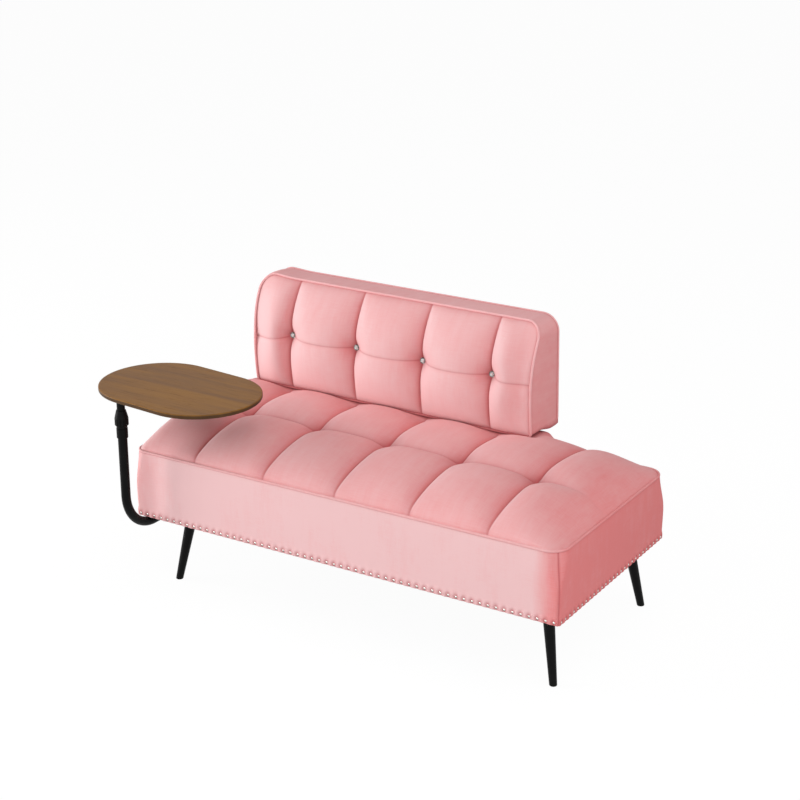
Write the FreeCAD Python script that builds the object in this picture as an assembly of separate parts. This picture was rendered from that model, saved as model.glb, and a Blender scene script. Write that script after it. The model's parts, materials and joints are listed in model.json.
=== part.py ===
import FreeCAD, Part
import math
import os

from FreeCAD import Vector

# Two-seater sofa with a tufted seat, a part-width backrest and a side table on a bent arm.
# Millimetres. X runs along the seat to the right, Y to the back, Z up from the floor.
# Everything is drawn about the middle of the seat and moved to the part's origin at the end.

# Seat box
SEAT_LENGTH = 1300.0
SEAT_DEPTH = 608.0
LEG_HEIGHT = 200.0
BORDER_HEIGHT = 191.0
BORDER_THICKNESS = 8.0
BORDER_CORNER_RADIUS = 6.0
RAIL_THICKNESS = 34.0
RAIL_HEIGHT = 110.0
CROSS_RAIL_THICKNESS = 25.0
CROSS_RAIL_HEIGHT = 60.0
CROSS_RAIL_OFFSET = 210.0
DECK_THICKNESS = 10.0
DUST_COVER_THICKNESS = 1.0

# Seat cushion
SEAT_CORNER_RADIUS = 48.0
SEAT_DOME = 70.0
SEAT_PUFF = 15.0
SEAT_LIP = 8.0
SEAT_END_FALL = 105.0
SEAT_ROUNDNESS = 0.6
SEAT_COLUMN_PITCH = 224.0
SEAT_ROW_SEAM = -46.0
SEAT_ROW_STATIONS = (0.0, 0.08, 0.25, 0.5, 0.75, 0.92)
TUFT_FULLNESS = 0.75
TUFT_STATIONS = (0.0, 0.2, 0.5, 0.8)
SURFACE_MARGIN = 4.0

# Piping and nailheads
PIPING_RADIUS = 3.5
PIPING_INSET = 1.5
NAIL_HEAD_RADIUS = 4.5
NAIL_HEAD_HEIGHT = 2.2
NAIL_SHANK_RADIUS = 0.9
NAIL_LENGTH = 10.5
NAIL_PITCH = 22.75
NAIL_FROM_EDGE = 7.0
NAIL_FROM_CORNER = 12.5

# Legs
LEG_INSETS = {"left": 120.0, "right": 75.0, "front": 89.5, "rear": 55.0}
LEG_SPLAY_X = 34.5
LEG_SPLAY_Y = 28.0
LEG_TOP_RADIUS = 16.0
LEG_FOOT_RADIUS = 10.0
LEG_PLATE_SIDE = 56.0
LEG_PLATE_THICKNESS = 3.0
LEG_SCREW_SPACING = 40.0
GLIDE_HEIGHT = 8.0
GLIDE_EDGE_RADIUS = 2.0
CORNER_BLOCK_HEIGHT = 60.0
CORNER_BLOCK_MARGIN = 12.0

# Screws and bolts
SCREW_RADIUS = 2.0
SCREW_HEAD_RADIUS = 4.0
SCREW_HEAD_HEIGHT = 2.2
SCREW_CLEARANCE = 0.3
LEG_SCREW_LENGTH = 28.0
BOLT_RADIUS = 4.0
BOLT_HEAD_RADIUS = 7.0
BOLT_HEAD_HEIGHT = 4.4
BOLT_CLEARANCE = 0.4
INSERT_WALL = 2.0
INSERT_LENGTH = 14.0
INSERT_FLANGE_WIDTH = 4.0
INSERT_FLANGE_HEIGHT = 1.5

# Backrest
BACK_WIDTH = 894.5
BACK_LEFT_INSET = 75.0
BACK_ABOVE_SEAM = 71.0
BACK_HEIGHT = 309.0
BACK_TOP_RADIUS = 61.0
BACK_BOTTOM_RADIUS = 14.0
BACK_PAD_DEPTH = 118.0
BACK_BELLY_HEIGHT = 124.0
BACK_LOWER_RADIUS = 700.0
BACK_UPPER_RADIUS = 281.0
BACK_PUFF = 22.0
BACK_ROW_SEAM_HEIGHT = 158.0
BACK_COLUMN_PITCH = 215.0
BACK_ROW_STATIONS = (0.0, 0.1, 0.3, 0.6, 0.85)
BACK_REAR_PAD_TOP = 5.0
BACK_REAR_PAD_BOTTOM = 16.0
BACK_WADDING = 12.0
BACK_FRAME_THICKNESS = 26.0
BACK_FRAME_WIDTH = 50.0
BACK_BOARD_THICKNESS = 3.0
BACK_SEAT_CLEARANCE = 0.5
BUTTON_RIM_RADIUS = 7.0
BUTTON_RIM_HEIGHT = 6.0
BUTTON_DEPTH = 11.0
BUTTON_DIMPLE_MARGIN = 1.0
BUTTON_DIMPLE_RADIUS = 34.0
BUTTON_DIMPLE_REACH = 36.0
BUTTON_SHANK_RADIUS = 1.5
BUTTON_SHANK_LENGTH = 20.0
CRYSTAL_RADIUS = 5.2
CRYSTAL_TABLE_RADIUS = 2.8
CRYSTAL_HEIGHT = 3.0
CRYSTAL_SIDES = 8

# Brackets that carry the backrest
BRACKET_WIDTH = 40.0
BRACKET_THICKNESS = 5.0
BRACKET_SPACING = 500.0
BRACKET_FOOT_DROP = 76.0
BRACKET_SPACER = 2.5
BRACKET_SPACER_RADIUS = 9.0
BRACKET_BOLT_PITCH = 40.0
BRACKET_BOLT_DROP = 25.0
BRACKET_SCREW_LENGTH = 20.0
BRACKET_POCKET_GAP = 2.0

# Side table arm
ARM_TUBE_RADIUS = 12.7
ARM_LEFT_INSET = 30.5
ARM_FRONT_REACH = 81.3
ARM_BEND_RADIUS = 110.0
ARM_DROP = 17.6
ARM_TAIL_END = 60.0
ARM_BOLT_FRONT = -130.0
ARM_BOLT_PITCH = 150.0
ARM_BOLT_LENGTH = 55.0
ARM_TUBE_ABOVE_SEAM = 92.0
SADDLE_LENGTH = 40.0
SADDLE_WIDTH = 30.0
SADDLE_WRAP = 8.0
END_PLUG_FLANGE = 3.0
END_PLUG_LENGTH = 15.0
POST_RADIUS = 11.1
POST_WALL = 1.2
RUNNING_CLEARANCE = 0.05
FREE_CLEARANCE = 0.3
SLEEVE_RADIUS = 15.3
SLEEVE_GRIP = 21.5
SLEEVE_CAP = 4.5
COLLET_RADIUS = 12.9
COLLET_LENGTH = 23.5
NUT_GAP = 1.5
NUT_NECK_RADIUS = 14.6
NUT_WIDE_RADIUS = 18.6
NUT_TOP_RADIUS = 13.2
NUT_NECK_HEIGHT = 5.0
NUT_FLARE_HEIGHT = 4.0
NUT_GRIP_HEIGHT = 19.0
NUT_CONE_HEIGHT = 21.5
NUT_CAVITY_GAP = 2.0
NUT_GRIP_RIBS = 12
NUT_RIB_RADIUS = 1.6

# Side table
TABLE_ABOVE_SEAM = 200.5
TABLE_LENGTH = 477.0
TABLE_WIDTH = 327.0
TABLE_THICKNESS = 12.0
TABLE_EDGE_RADIUS = 3.0
TABLE_POST_FROM_EDGE = 49.0
TABLE_POST_FROM_END = 129.5
TABLE_TURN = -5.7
FLANGE_RADIUS = 32.0
FLANGE_THICKNESS = 3.0
FLANGE_STUB_LENGTH = 20.0
FLANGE_SCREW_CIRCLE = 23.0
FLANGE_SCREW_COUNT = 4
FLANGE_SCREW_BITE = 9.0
SWIVEL_GAP = 0.4
LIFT_DOWN = 28.0

# Places worked out from the sizes above
HALF_LENGTH = SEAT_LENGTH / 2
HALF_DEPTH = SEAT_DEPTH / 2
SEAM_HEIGHT = LEG_HEIGHT + BORDER_HEIGHT
FRAME_HALF_LENGTH = HALF_LENGTH - BORDER_THICKNESS
FRAME_HALF_DEPTH = HALF_DEPTH - BORDER_THICKNESS
RAIL_BOTTOM = LEG_HEIGHT + DUST_COVER_THICKNESS
RAIL_TOP = RAIL_BOTTOM + RAIL_HEIGHT
DECK_TOP = RAIL_TOP + DECK_THICKNESS
INNER_HALF_LENGTH = FRAME_HALF_LENGTH - RAIL_THICKNESS
INNER_HALF_DEPTH = FRAME_HALF_DEPTH - RAIL_THICKNESS
SEAT_COLUMN_SEAMS = [SEAT_COLUMN_PITCH * step for step in (-2, -1, 0, 1, 2)]

BACK_LEFT = -HALF_LENGTH + BACK_LEFT_INSET
BACK_RIGHT = BACK_LEFT + BACK_WIDTH
BACK_MIDDLE = (BACK_LEFT + BACK_RIGHT) / 2
BACK_UNDERSIDE = SEAM_HEIGHT + BACK_ABOVE_SEAM
BACK_TOP = BACK_UNDERSIDE + BACK_HEIGHT
BACK_BELLY = BACK_UNDERSIDE + BACK_BELLY_HEIGHT
BACK_ROW_SEAM = BACK_UNDERSIDE + BACK_ROW_SEAM_HEIGHT
BACK_COLUMN_SEAMS = [BACK_MIDDLE + BACK_COLUMN_PITCH * step for step in (-1.5, -0.5, 0.5, 1.5)]
BRACKET_FRONT = HALF_DEPTH + BRACKET_SPACER
BRACKET_REAR = BRACKET_FRONT + BRACKET_THICKNESS
BACK_FRAME_REAR = BRACKET_FRONT
BACK_FRAME_FRONT = BACK_FRAME_REAR - BACK_FRAME_THICKNESS
BACK_PAD_REAR = BACK_FRAME_FRONT - BACK_BOARD_THICKNESS
BACK_FRONT = BACK_PAD_REAR - BACK_PAD_DEPTH
BRACKET_XS = [BACK_MIDDLE - BRACKET_SPACING / 2, BACK_MIDDLE + BRACKET_SPACING / 2]
BACK_MIDDLE_RAIL_BOTTOM = (BACK_UNDERSIDE + BACK_TOP - BACK_FRAME_WIDTH) / 2
BACK_MIDDLE_RAIL_TOP = BACK_MIDDLE_RAIL_BOTTOM + BACK_FRAME_WIDTH

ARM_X = -HALF_LENGTH + ARM_LEFT_INSET
ARM_Y = -HALF_DEPTH - ARM_FRONT_REACH
ARM_TAIL_HEIGHT = LEG_HEIGHT - ARM_DROP
ARM_BORE_RADIUS = POST_RADIUS + RUNNING_CLEARANCE
ARM_BEND_TOP = ARM_TAIL_HEIGHT + ARM_BEND_RADIUS
ARM_BEND_END = ARM_Y + ARM_BEND_RADIUS
ARM_BOLT_YS = [ARM_BOLT_FRONT, ARM_BOLT_FRONT + ARM_BOLT_PITCH]
ARM_TUBE_TOP = SEAM_HEIGHT + ARM_TUBE_ABOVE_SEAM
SLEEVE_BOTTOM = ARM_TUBE_TOP - SLEEVE_GRIP
SLEEVE_TOP = ARM_TUBE_TOP + SLEEVE_CAP
COLLET_TOP = SLEEVE_TOP + COLLET_LENGTH
NUT_BOTTOM = SLEEVE_TOP + NUT_GAP
NUT_WIDE_BOTTOM = NUT_BOTTOM + NUT_NECK_HEIGHT + NUT_FLARE_HEIGHT
NUT_WIDE_TOP = NUT_WIDE_BOTTOM + NUT_GRIP_HEIGHT
NUT_TOP = NUT_WIDE_TOP + NUT_CONE_HEIGHT
TABLE_UNDERSIDE = SEAM_HEIGHT + TABLE_ABOVE_SEAM - TABLE_THICKNESS
FLANGE_UNDERSIDE = TABLE_UNDERSIDE - FLANGE_THICKNESS
POST_TOP = FLANGE_UNDERSIDE - SWIVEL_GAP
POST_BORE_RADIUS = POST_RADIUS - POST_WALL
POST_BOTTOM = ARM_BEND_TOP + END_PLUG_FLANGE + LIFT_DOWN + FREE_CLEARANCE

UP = Vector(0, 0, 1)
BACKWARD = Vector(0, 1, 0)
RIGHT = Vector(1, 0, 0)
SIDES = {"left": -1, "right": 1}
ENDS = {"front": -1, "rear": 1}
SAME_POINT = 1e-6

nodes = {}


def block(low, high):
    """Box between two opposite corners."""
    size = [top - bottom for bottom, top in zip(low, high)]
    return Part.makeBox(size[0], size[1], size[2], Vector(*low))


def rod(radius, start, length, direction):
    """Round bar from a point along a direction."""
    return Part.makeCylinder(radius, length, start, direction)


def join(solids):
    """One solid from pieces that share faces."""
    return solids[0].multiFuse(solids[1:]).removeSplitter()


def rounded_rectangle(low, high, radii, place):
    """Closed wire round a rectangle, anticlockwise from its low corner, with a radius for each corner.

    place turns the two coordinates of the rectangle's plane into a point in space.
    """
    corners = [(low[0], low[1]), (high[0], low[1]), (high[0], high[1]), (low[0], high[1])]
    leaving = [(1, 0), (0, 1), (-1, 0), (0, -1)]
    edges = []
    stops = []
    for index, (u, v) in enumerate(corners):
        radius = radii[index]
        into = leaving[index - 1]
        out = leaving[index]
        start = (u - into[0] * radius, v - into[1] * radius)
        end = (u + out[0] * radius, v + out[1] * radius)
        centre = (start[0] + out[0] * radius, start[1] + out[1] * radius)
        toward = radius / math.sqrt(2)
        middle = (centre[0] + (into[0] - out[0]) * toward, centre[1] + (into[1] - out[1]) * toward)
        stops.append((start, middle, end))
    for index, (start, middle, end) in enumerate(stops):
        if radii[index] > 0:
            edges.append(Part.Arc(place(*start), place(*middle), place(*end)).toShape())
        following = stops[(index + 1) % len(stops)][0]
        if math.dist(end, following) > SAME_POINT:
            edges.append(Part.LineSegment(place(*end), place(*following)).toShape())
    return Part.Wire(edges)


def plan_slab(half_length, half_depth, radius, bottom, top):
    """Flat slab with rounded corners in plan, about the middle of the seat."""
    wire = rounded_rectangle(
        (-half_length, -half_depth),
        (half_length, half_depth),
        [radius] * 4,
        lambda x, y: Vector(x, y, bottom),
    )
    return Part.Face(wire).extrude(Vector(0, 0, top - bottom))


def swell(position, seams):
    """Fullness of a tuft between the two seams around a position: nought at a seam, one halfway."""
    for low, high in zip(seams, seams[1:]):
        if low <= position <= high:
            return math.sin(math.pi * (position - low) / (high - low)) ** TUFT_FULLNESS
    return 0.0


def stations(seams, shares, margin):
    """Places along a row of tufts: the given shares of each tuft, every seam and a margin at each end."""
    places = [seams[0] - margin]
    for low, high in zip(seams, seams[1:]):
        places += [low + share * (high - low) for share in shares]
    return places + [seams[-1], seams[-1] + margin]


def tufted_face(across, along, point):
    """Smooth face through a grid of points."""
    grid = [[point(u, v) for v in along] for u in across]
    surface = Part.BSplineSurface()
    surface.interpolate(grid)
    return surface.toShape()


def pan_screw(head_base, direction, length):
    """Wood screw with a flat round head; the shank leaves head_base along direction."""
    head = rod(SCREW_HEAD_RADIUS, head_base, SCREW_HEAD_HEIGHT, -direction)
    shank = rod(SCREW_RADIUS, head_base, length, direction)
    return join([head, shank])


def socket_bolt(head_base, direction, length):
    """Bolt with a round head; the shank leaves head_base along direction."""
    head = rod(BOLT_HEAD_RADIUS, head_base, BOLT_HEAD_HEIGHT, -direction)
    shank = rod(BOLT_RADIUS, head_base, length, direction)
    return join([head, shank])


def threaded_insert(mouth, direction):
    """Flanged insert pressed into timber, which takes a bolt; direction points into the timber."""
    barrel = rod(BOLT_RADIUS + INSERT_WALL, mouth, INSERT_LENGTH, direction)
    bore = rod(BOLT_RADIUS, mouth, INSERT_LENGTH, direction)
    return barrel.cut(bore)


def flanged_nut(mouth, direction):
    """Insert with a flange that lies on the face of the timber at mouth."""
    flange_radius = BOLT_RADIUS + INSERT_WALL + INSERT_FLANGE_WIDTH
    flange = rod(flange_radius, mouth, INSERT_FLANGE_HEIGHT, -direction)
    bore = rod(BOLT_RADIUS, mouth, INSERT_FLANGE_HEIGHT, -direction)
    return join([flange.cut(bore), threaded_insert(mouth, direction)])


def turned(profile, axis_x, axis_y):
    """Solid turned about an upright axis from (radius, height) points."""
    points = [Vector(axis_x + radius, axis_y, height) for radius, height in profile]
    face = Part.Face(Part.makePolygon(points + points[:1]))
    return face.revolve(Vector(axis_x, axis_y, 0), UP, 360)


# Seat frame


def leg_tops():
    """Names and top centres of the legs."""
    places = {}
    for end, forward in ENDS.items():
        for side, sideways in SIDES.items():
            x = sideways * (HALF_LENGTH - LEG_INSETS[side])
            y = forward * (HALF_DEPTH - LEG_INSETS[end])
            places[end + "_" + side] = (x, y, sideways, forward)
    return places


def make_seat_frame():
    """Rails, cross rails, corner blocks, deck and dust cover."""
    for end, forward in ENDS.items():
        outer = forward * FRAME_HALF_DEPTH
        inner = forward * INNER_HALF_DEPTH
        nodes[end + "_rail"] = block(
            (-FRAME_HALF_LENGTH, min(outer, inner), RAIL_BOTTOM),
            (FRAME_HALF_LENGTH, max(outer, inner), RAIL_TOP),
        )
    for side, sideways in SIDES.items():
        outer = sideways * FRAME_HALF_LENGTH
        inner = sideways * INNER_HALF_LENGTH
        nodes[side + "_end_rail"] = block(
            (min(outer, inner), -INNER_HALF_DEPTH, RAIL_BOTTOM),
            (max(outer, inner), INNER_HALF_DEPTH, RAIL_TOP),
        )
        middle = sideways * CROSS_RAIL_OFFSET
        nodes["cross_rail_" + side] = block(
            (middle - CROSS_RAIL_THICKNESS / 2, -INNER_HALF_DEPTH, RAIL_TOP - CROSS_RAIL_HEIGHT),
            (middle + CROSS_RAIL_THICKNESS / 2, INNER_HALF_DEPTH, RAIL_TOP),
        )
    reach = LEG_PLATE_SIDE / 2 + CORNER_BLOCK_MARGIN
    for name, (x, y, sideways, forward) in leg_tops().items():
        xs = sorted((sideways * INNER_HALF_LENGTH, x - sideways * reach))
        ys = sorted((forward * INNER_HALF_DEPTH, y - forward * reach))
        nodes["corner_block_" + name] = block(
            (xs[0], ys[0], RAIL_BOTTOM),
            (xs[1], ys[1], RAIL_BOTTOM + CORNER_BLOCK_HEIGHT),
        )
    nodes["seat_deck"] = block(
        (-FRAME_HALF_LENGTH, -FRAME_HALF_DEPTH, RAIL_TOP),
        (FRAME_HALF_LENGTH, FRAME_HALF_DEPTH, DECK_TOP),
    )
    nodes["dust_cover"] = block(
        (-FRAME_HALF_LENGTH, -FRAME_HALF_DEPTH, LEG_HEIGHT),
        (FRAME_HALF_LENGTH, FRAME_HALF_DEPTH, RAIL_BOTTOM),
    )


# Seat upholstery


def seat_crown_point(x, y):
    """Point of the tufted top: a dome that falls to the piping, with a swell on each tuft."""
    inside_x = max(-HALF_LENGTH, min(HALF_LENGTH, x))
    inside_y = max(-HALF_DEPTH, min(HALF_DEPTH, y))
    across = (1 - (inside_y / HALF_DEPTH) ** 2) ** SEAT_ROUNDNESS
    from_end = min(HALF_LENGTH - abs(inside_x), SEAT_END_FALL) / SEAT_END_FALL
    dome = across * (1 - (1 - from_end) ** 2)
    columns = [-HALF_LENGTH] + SEAT_COLUMN_SEAMS + [HALF_LENGTH]
    rows = [-HALF_DEPTH, SEAT_ROW_SEAM, HALF_DEPTH]
    puff = swell(inside_x, columns) * swell(inside_y, rows) * math.sqrt(dome)
    return Vector(x, y, SEAM_HEIGHT + SEAT_LIP + SEAT_DOME * dome + SEAT_PUFF * puff)


def piping_loop():
    """Round cord that runs round the seat in the seam between the border and the top."""
    half_x = HALF_LENGTH - PIPING_INSET
    half_y = HALF_DEPTH - PIPING_INSET
    bend = SEAT_CORNER_RADIUS - PIPING_INSET
    pieces = []
    for sign in (-1, 1):
        start = Vector(-half_x + bend, sign * half_y, SEAM_HEIGHT)
        pieces.append(rod(PIPING_RADIUS, start, 2 * (half_x - bend), RIGHT))
        start = Vector(sign * half_x, -half_y + bend, SEAM_HEIGHT)
        pieces.append(rod(PIPING_RADIUS, start, 2 * (half_y - bend), BACKWARD))
    for side_x in (-1, 1):
        for side_y in (-1, 1):
            centre = Vector(side_x * (half_x - bend), side_y * (half_y - bend), SEAM_HEIGHT)
            section = Part.makeCircle(PIPING_RADIUS, centre + Vector(side_x * bend, 0, 0), BACKWARD)
            face = Part.Face(Part.Wire(section))
            pieces.append(face.revolve(centre, UP, 90 * side_x * side_y))
    return join(pieces)


def nail():
    """Dome-headed nail along Z with the underside of its head at the origin."""
    sphere = (NAIL_HEAD_RADIUS ** 2 + NAIL_HEAD_HEIGHT ** 2) / (2 * NAIL_HEAD_HEIGHT)
    halfway = math.asin(NAIL_HEAD_RADIUS / sphere) / 2
    crest = Vector(0, 0, NAIL_HEAD_HEIGHT)
    shoulder = crest + Vector(sphere * math.sin(halfway), 0, sphere * math.cos(halfway) - sphere)
    rim = Vector(NAIL_HEAD_RADIUS, 0, 0)
    dome = Part.Arc(crest, shoulder, rim).toShape()
    stem = [
        rim,
        Vector(NAIL_SHANK_RADIUS, 0, 0),
        Vector(NAIL_SHANK_RADIUS, 0, -NAIL_LENGTH),
        Vector(0, 0, -NAIL_LENGTH),
        crest,
    ]
    wire = Part.Wire([dome] + Part.makePolygon(stem).Edges)
    return Part.Face(wire).revolve(Vector(0, 0, 0), UP, 360)


def nails_along(places, outward):
    """Row of nails with their heads facing outward, at the given points of the border."""
    turn = FreeCAD.Rotation(UP, outward)
    row = []
    for x, y in places:
        piece = nail()
        piece.Placement = FreeCAD.Placement(Vector(x, y, LEG_HEIGHT + NAIL_FROM_EDGE), turn)
        row.append(piece)
    return Part.makeCompound(row)


def nail_row(length):
    """Places of the nails along one side of the given length, evenly spaced about its middle."""
    run = length - 2 * NAIL_FROM_CORNER
    gaps = max(1, round(run / NAIL_PITCH))
    return [-run / 2 + run * step / gaps for step in range(gaps + 1)]


def make_seat_upholstery():
    """Tufted cushion, four border panels, piping and nailheads."""
    piping = piping_loop()
    nodes["seat_piping"] = piping

    columns = [-HALF_LENGTH] + SEAT_COLUMN_SEAMS + [HALF_LENGTH]
    rows = [-HALF_DEPTH, SEAT_ROW_SEAM, HALF_DEPTH]
    face = tufted_face(
        stations(columns, TUFT_STATIONS, SURFACE_MARGIN),
        stations(rows, SEAT_ROW_STATIONS, SURFACE_MARGIN),
        seat_crown_point,
    )
    depth = SEAT_LIP + SEAT_DOME + SEAT_PUFF
    under_face = face.extrude(Vector(0, 0, -2 * depth))
    crown = plan_slab(HALF_LENGTH, HALF_DEPTH, SEAT_CORNER_RADIUS, SEAM_HEIGHT, SEAM_HEIGHT + 2 * depth)
    crown = crown.common(under_face)
    foam = block(
        (-FRAME_HALF_LENGTH, -FRAME_HALF_DEPTH, DECK_TOP),
        (FRAME_HALF_LENGTH, FRAME_HALF_DEPTH, SEAM_HEIGHT),
    )
    around = PIPING_RADIUS - PIPING_INSET + BACK_SEAT_CLEARANCE
    hollow = block(
        (BACK_LEFT - around, BACK_FRONT - BACK_PUFF, BACK_UNDERSIDE - around),
        (BACK_RIGHT + around, HALF_DEPTH, BACK_TOP),
    )
    nodes["seat_cushion"] = join([crown, foam]).cut(hollow).cut(piping)

    for end, forward in ENDS.items():
        outer = forward * HALF_DEPTH
        inner = forward * FRAME_HALF_DEPTH
        panel = block(
            (-HALF_LENGTH, min(outer, inner), LEG_HEIGHT),
            (HALF_LENGTH, max(outer, inner), SEAM_HEIGHT),
        )
        upright = [edge for edge in panel.Edges if edge.BoundBox.ZLength > BORDER_HEIGHT / 2]
        corners = [edge for edge in upright if abs(edge.BoundBox.Center.y - outer) < BORDER_THICKNESS / 2]
        nodes[end + "_border"] = panel.makeFillet(BORDER_CORNER_RADIUS, corners).cut(piping)
    for side, sideways in SIDES.items():
        outer = sideways * HALF_LENGTH
        inner = sideways * FRAME_HALF_LENGTH
        nodes[side + "_border"] = block(
            (min(outer, inner), -FRAME_HALF_DEPTH, LEG_HEIGHT),
            (max(outer, inner), FRAME_HALF_DEPTH, SEAM_HEIGHT),
        ).cut(piping)

    front = [(x, -HALF_DEPTH) for x in nail_row(SEAT_LENGTH)]
    nodes["nailheads_front"] = nails_along(front, -BACKWARD)
    for panel in ("front_border", "front_rail"):
        nodes[panel] = nodes[panel].cut(nodes["nailheads_front"])
    for side, sideways in SIDES.items():
        row = [(sideways * HALF_LENGTH, y) for y in nail_row(SEAT_DEPTH)]
        nails = nails_along(row, RIGHT * sideways)
        nodes["nailheads_" + side] = nails
        for panel in (side + "_border", side + "_end_rail", "front_rail", "rear_rail"):
            nodes[panel] = nodes[panel].cut(nails)


# Legs


def make_legs():
    """Splayed tapered legs with welded top plates, their glides and screws."""
    screws = []
    glides = []
    plate_bottom = LEG_HEIGHT - LEG_PLATE_THICKNESS
    half_plate = LEG_PLATE_SIDE / 2
    half_spacing = LEG_SCREW_SPACING / 2
    for name, (x, y, sideways, forward) in leg_tops().items():
        foot = Vector(x + sideways * LEG_SPLAY_X, y + forward * LEG_SPLAY_Y, 0)
        lean = Vector(x, y, plate_bottom) - foot
        taper = (LEG_TOP_RADIUS - LEG_FOOT_RADIUS) / lean.Length
        spare = 2 * LEG_TOP_RADIUS
        unit = Vector(lean).normalize()
        cone = Part.makeCone(
            LEG_FOOT_RADIUS - taper * spare,
            LEG_TOP_RADIUS + taper * spare,
            lean.Length + 2 * spare,
            foot - unit * spare,
            unit,
        )
        room = (HALF_LENGTH, HALF_DEPTH)
        shaft = cone.common(block((-room[0], -room[1], GLIDE_HEIGHT), (room[0], room[1], plate_bottom)))
        plate = block(
            (x - half_plate, y - half_plate, plate_bottom),
            (x + half_plate, y + half_plate, LEG_HEIGHT),
        )
        leg = join([shaft, plate])
        glide = cone.common(block((-room[0], -room[1], 0), (room[0], room[1], GLIDE_HEIGHT)))
        rim = [edge for edge in glide.Edges if edge.BoundBox.ZMax < GLIDE_HEIGHT / 2]
        glides.append(glide.makeFillet(GLIDE_EDGE_RADIUS, rim))
        for step_x in (-half_spacing, half_spacing):
            for step_y in (-half_spacing, half_spacing):
                base = Vector(x + step_x, y + step_y, plate_bottom)
                screws.append(pan_screw(base, UP, LEG_SCREW_LENGTH))
                leg = leg.cut(rod(SCREW_RADIUS + SCREW_CLEARANCE, base, LEG_PLATE_THICKNESS, UP))
        nodes["leg_" + name] = leg
    nodes["foot_glides"] = Part.makeCompound(glides)
    group = Part.makeCompound(screws)
    nodes["leg_screws"] = group
    nodes["dust_cover"] = nodes["dust_cover"].cut(group)
    nodes["rear_rail"] = nodes["rear_rail"].cut(group)
    for name in leg_tops():
        nodes["corner_block_" + name] = nodes["corner_block_" + name].cut(group)


# Backrest


def back_front_edge(height):
    """Depth of the backrest's front edge at a height: a belly between two arcs."""
    rise = height - BACK_BELLY
    radius = BACK_UPPER_RADIUS if rise > 0 else BACK_LOWER_RADIUS
    return BACK_FRONT + radius - math.sqrt(radius ** 2 - rise ** 2)


def back_front_point(x, z):
    """Point of the tufted front: the edge line pushed forward on each tuft."""
    inside_z = max(BACK_UNDERSIDE, min(BACK_TOP, z))
    columns = [BACK_LEFT] + BACK_COLUMN_SEAMS + [BACK_RIGHT]
    rows = [BACK_UNDERSIDE, BACK_ROW_SEAM, BACK_TOP]
    puff = swell(x, columns) * swell(inside_z, rows)
    return Vector(x, back_front_edge(z) - BACK_PUFF * puff, z)


def back_outline(inset, front, rear):
    """Prism through the backrest, drawn in by inset all round, between two depths."""
    bottom = max(BACK_BOTTOM_RADIUS - inset, 0)
    top = max(BACK_TOP_RADIUS - inset, 0)
    wire = rounded_rectangle(
        (BACK_LEFT + inset, BACK_UNDERSIDE + inset),
        (BACK_RIGHT - inset, BACK_TOP - inset),
        [bottom, bottom, top, top],
        lambda x, z: Vector(x, front, z),
    )
    return Part.Face(wire).extrude(Vector(0, rear - front, 0))


def back_profile(front_shift, rear_shift):
    """Slab that follows the front edge line, between two shifts of it along Y, past both ends."""
    low = BACK_UNDERSIDE - SURFACE_MARGIN
    high = BACK_TOP + SURFACE_MARGIN
    heights = [low, (low + BACK_BELLY) / 2, BACK_BELLY, (BACK_BELLY + high) / 2, high]
    start = BACK_LEFT - BACK_WADDING

    def line(shift):
        points = [Vector(start, back_front_edge(height) + shift, height) for height in heights]
        lower = Part.Arc(points[0], points[1], points[2]).toShape()
        upper = Part.Arc(points[2], points[3], points[4]).toShape()
        return [lower, upper], points[0], points[4]

    near, near_low, near_high = line(front_shift)
    far, far_low, far_high = line(rear_shift)
    caps = [
        Part.LineSegment(near_low, far_low).toShape(),
        Part.LineSegment(near_high, far_high).toShape(),
    ]
    wire = Part.Wire(Part.__sortEdges__(near + far + caps))
    return Part.Face(wire).extrude(Vector(BACK_WIDTH + 2 * BACK_WADDING, 0, 0))


def back_rear_slab(front_shift, rear_shift):
    """Slab along the slanted rear face, between two shifts of it along Y, past both ends."""
    low = BACK_UNDERSIDE - SURFACE_MARGIN
    high = BACK_TOP + SURFACE_MARGIN
    bottom = BACK_FRAME_REAR + BACK_REAR_PAD_BOTTOM
    top = BACK_FRAME_REAR + BACK_REAR_PAD_TOP
    start = BACK_LEFT - BACK_WADDING
    corners = [
        Vector(start, bottom + front_shift, low),
        Vector(start, bottom + rear_shift, low),
        Vector(start, top + rear_shift, high),
        Vector(start, top + front_shift, high),
    ]
    face = Part.Face(Part.makePolygon(corners + corners[:1]))
    return face.extrude(Vector(BACK_WIDTH + 2 * BACK_WADDING, 0, 0))


def back_ring(front, rear):
    """Band just inside and outside the backrest's outline, between two depths."""
    outer = back_outline(PIPING_INSET - PIPING_RADIUS, front, rear)
    return outer.cut(back_outline(PIPING_INSET + PIPING_RADIUS, front, rear))


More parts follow.
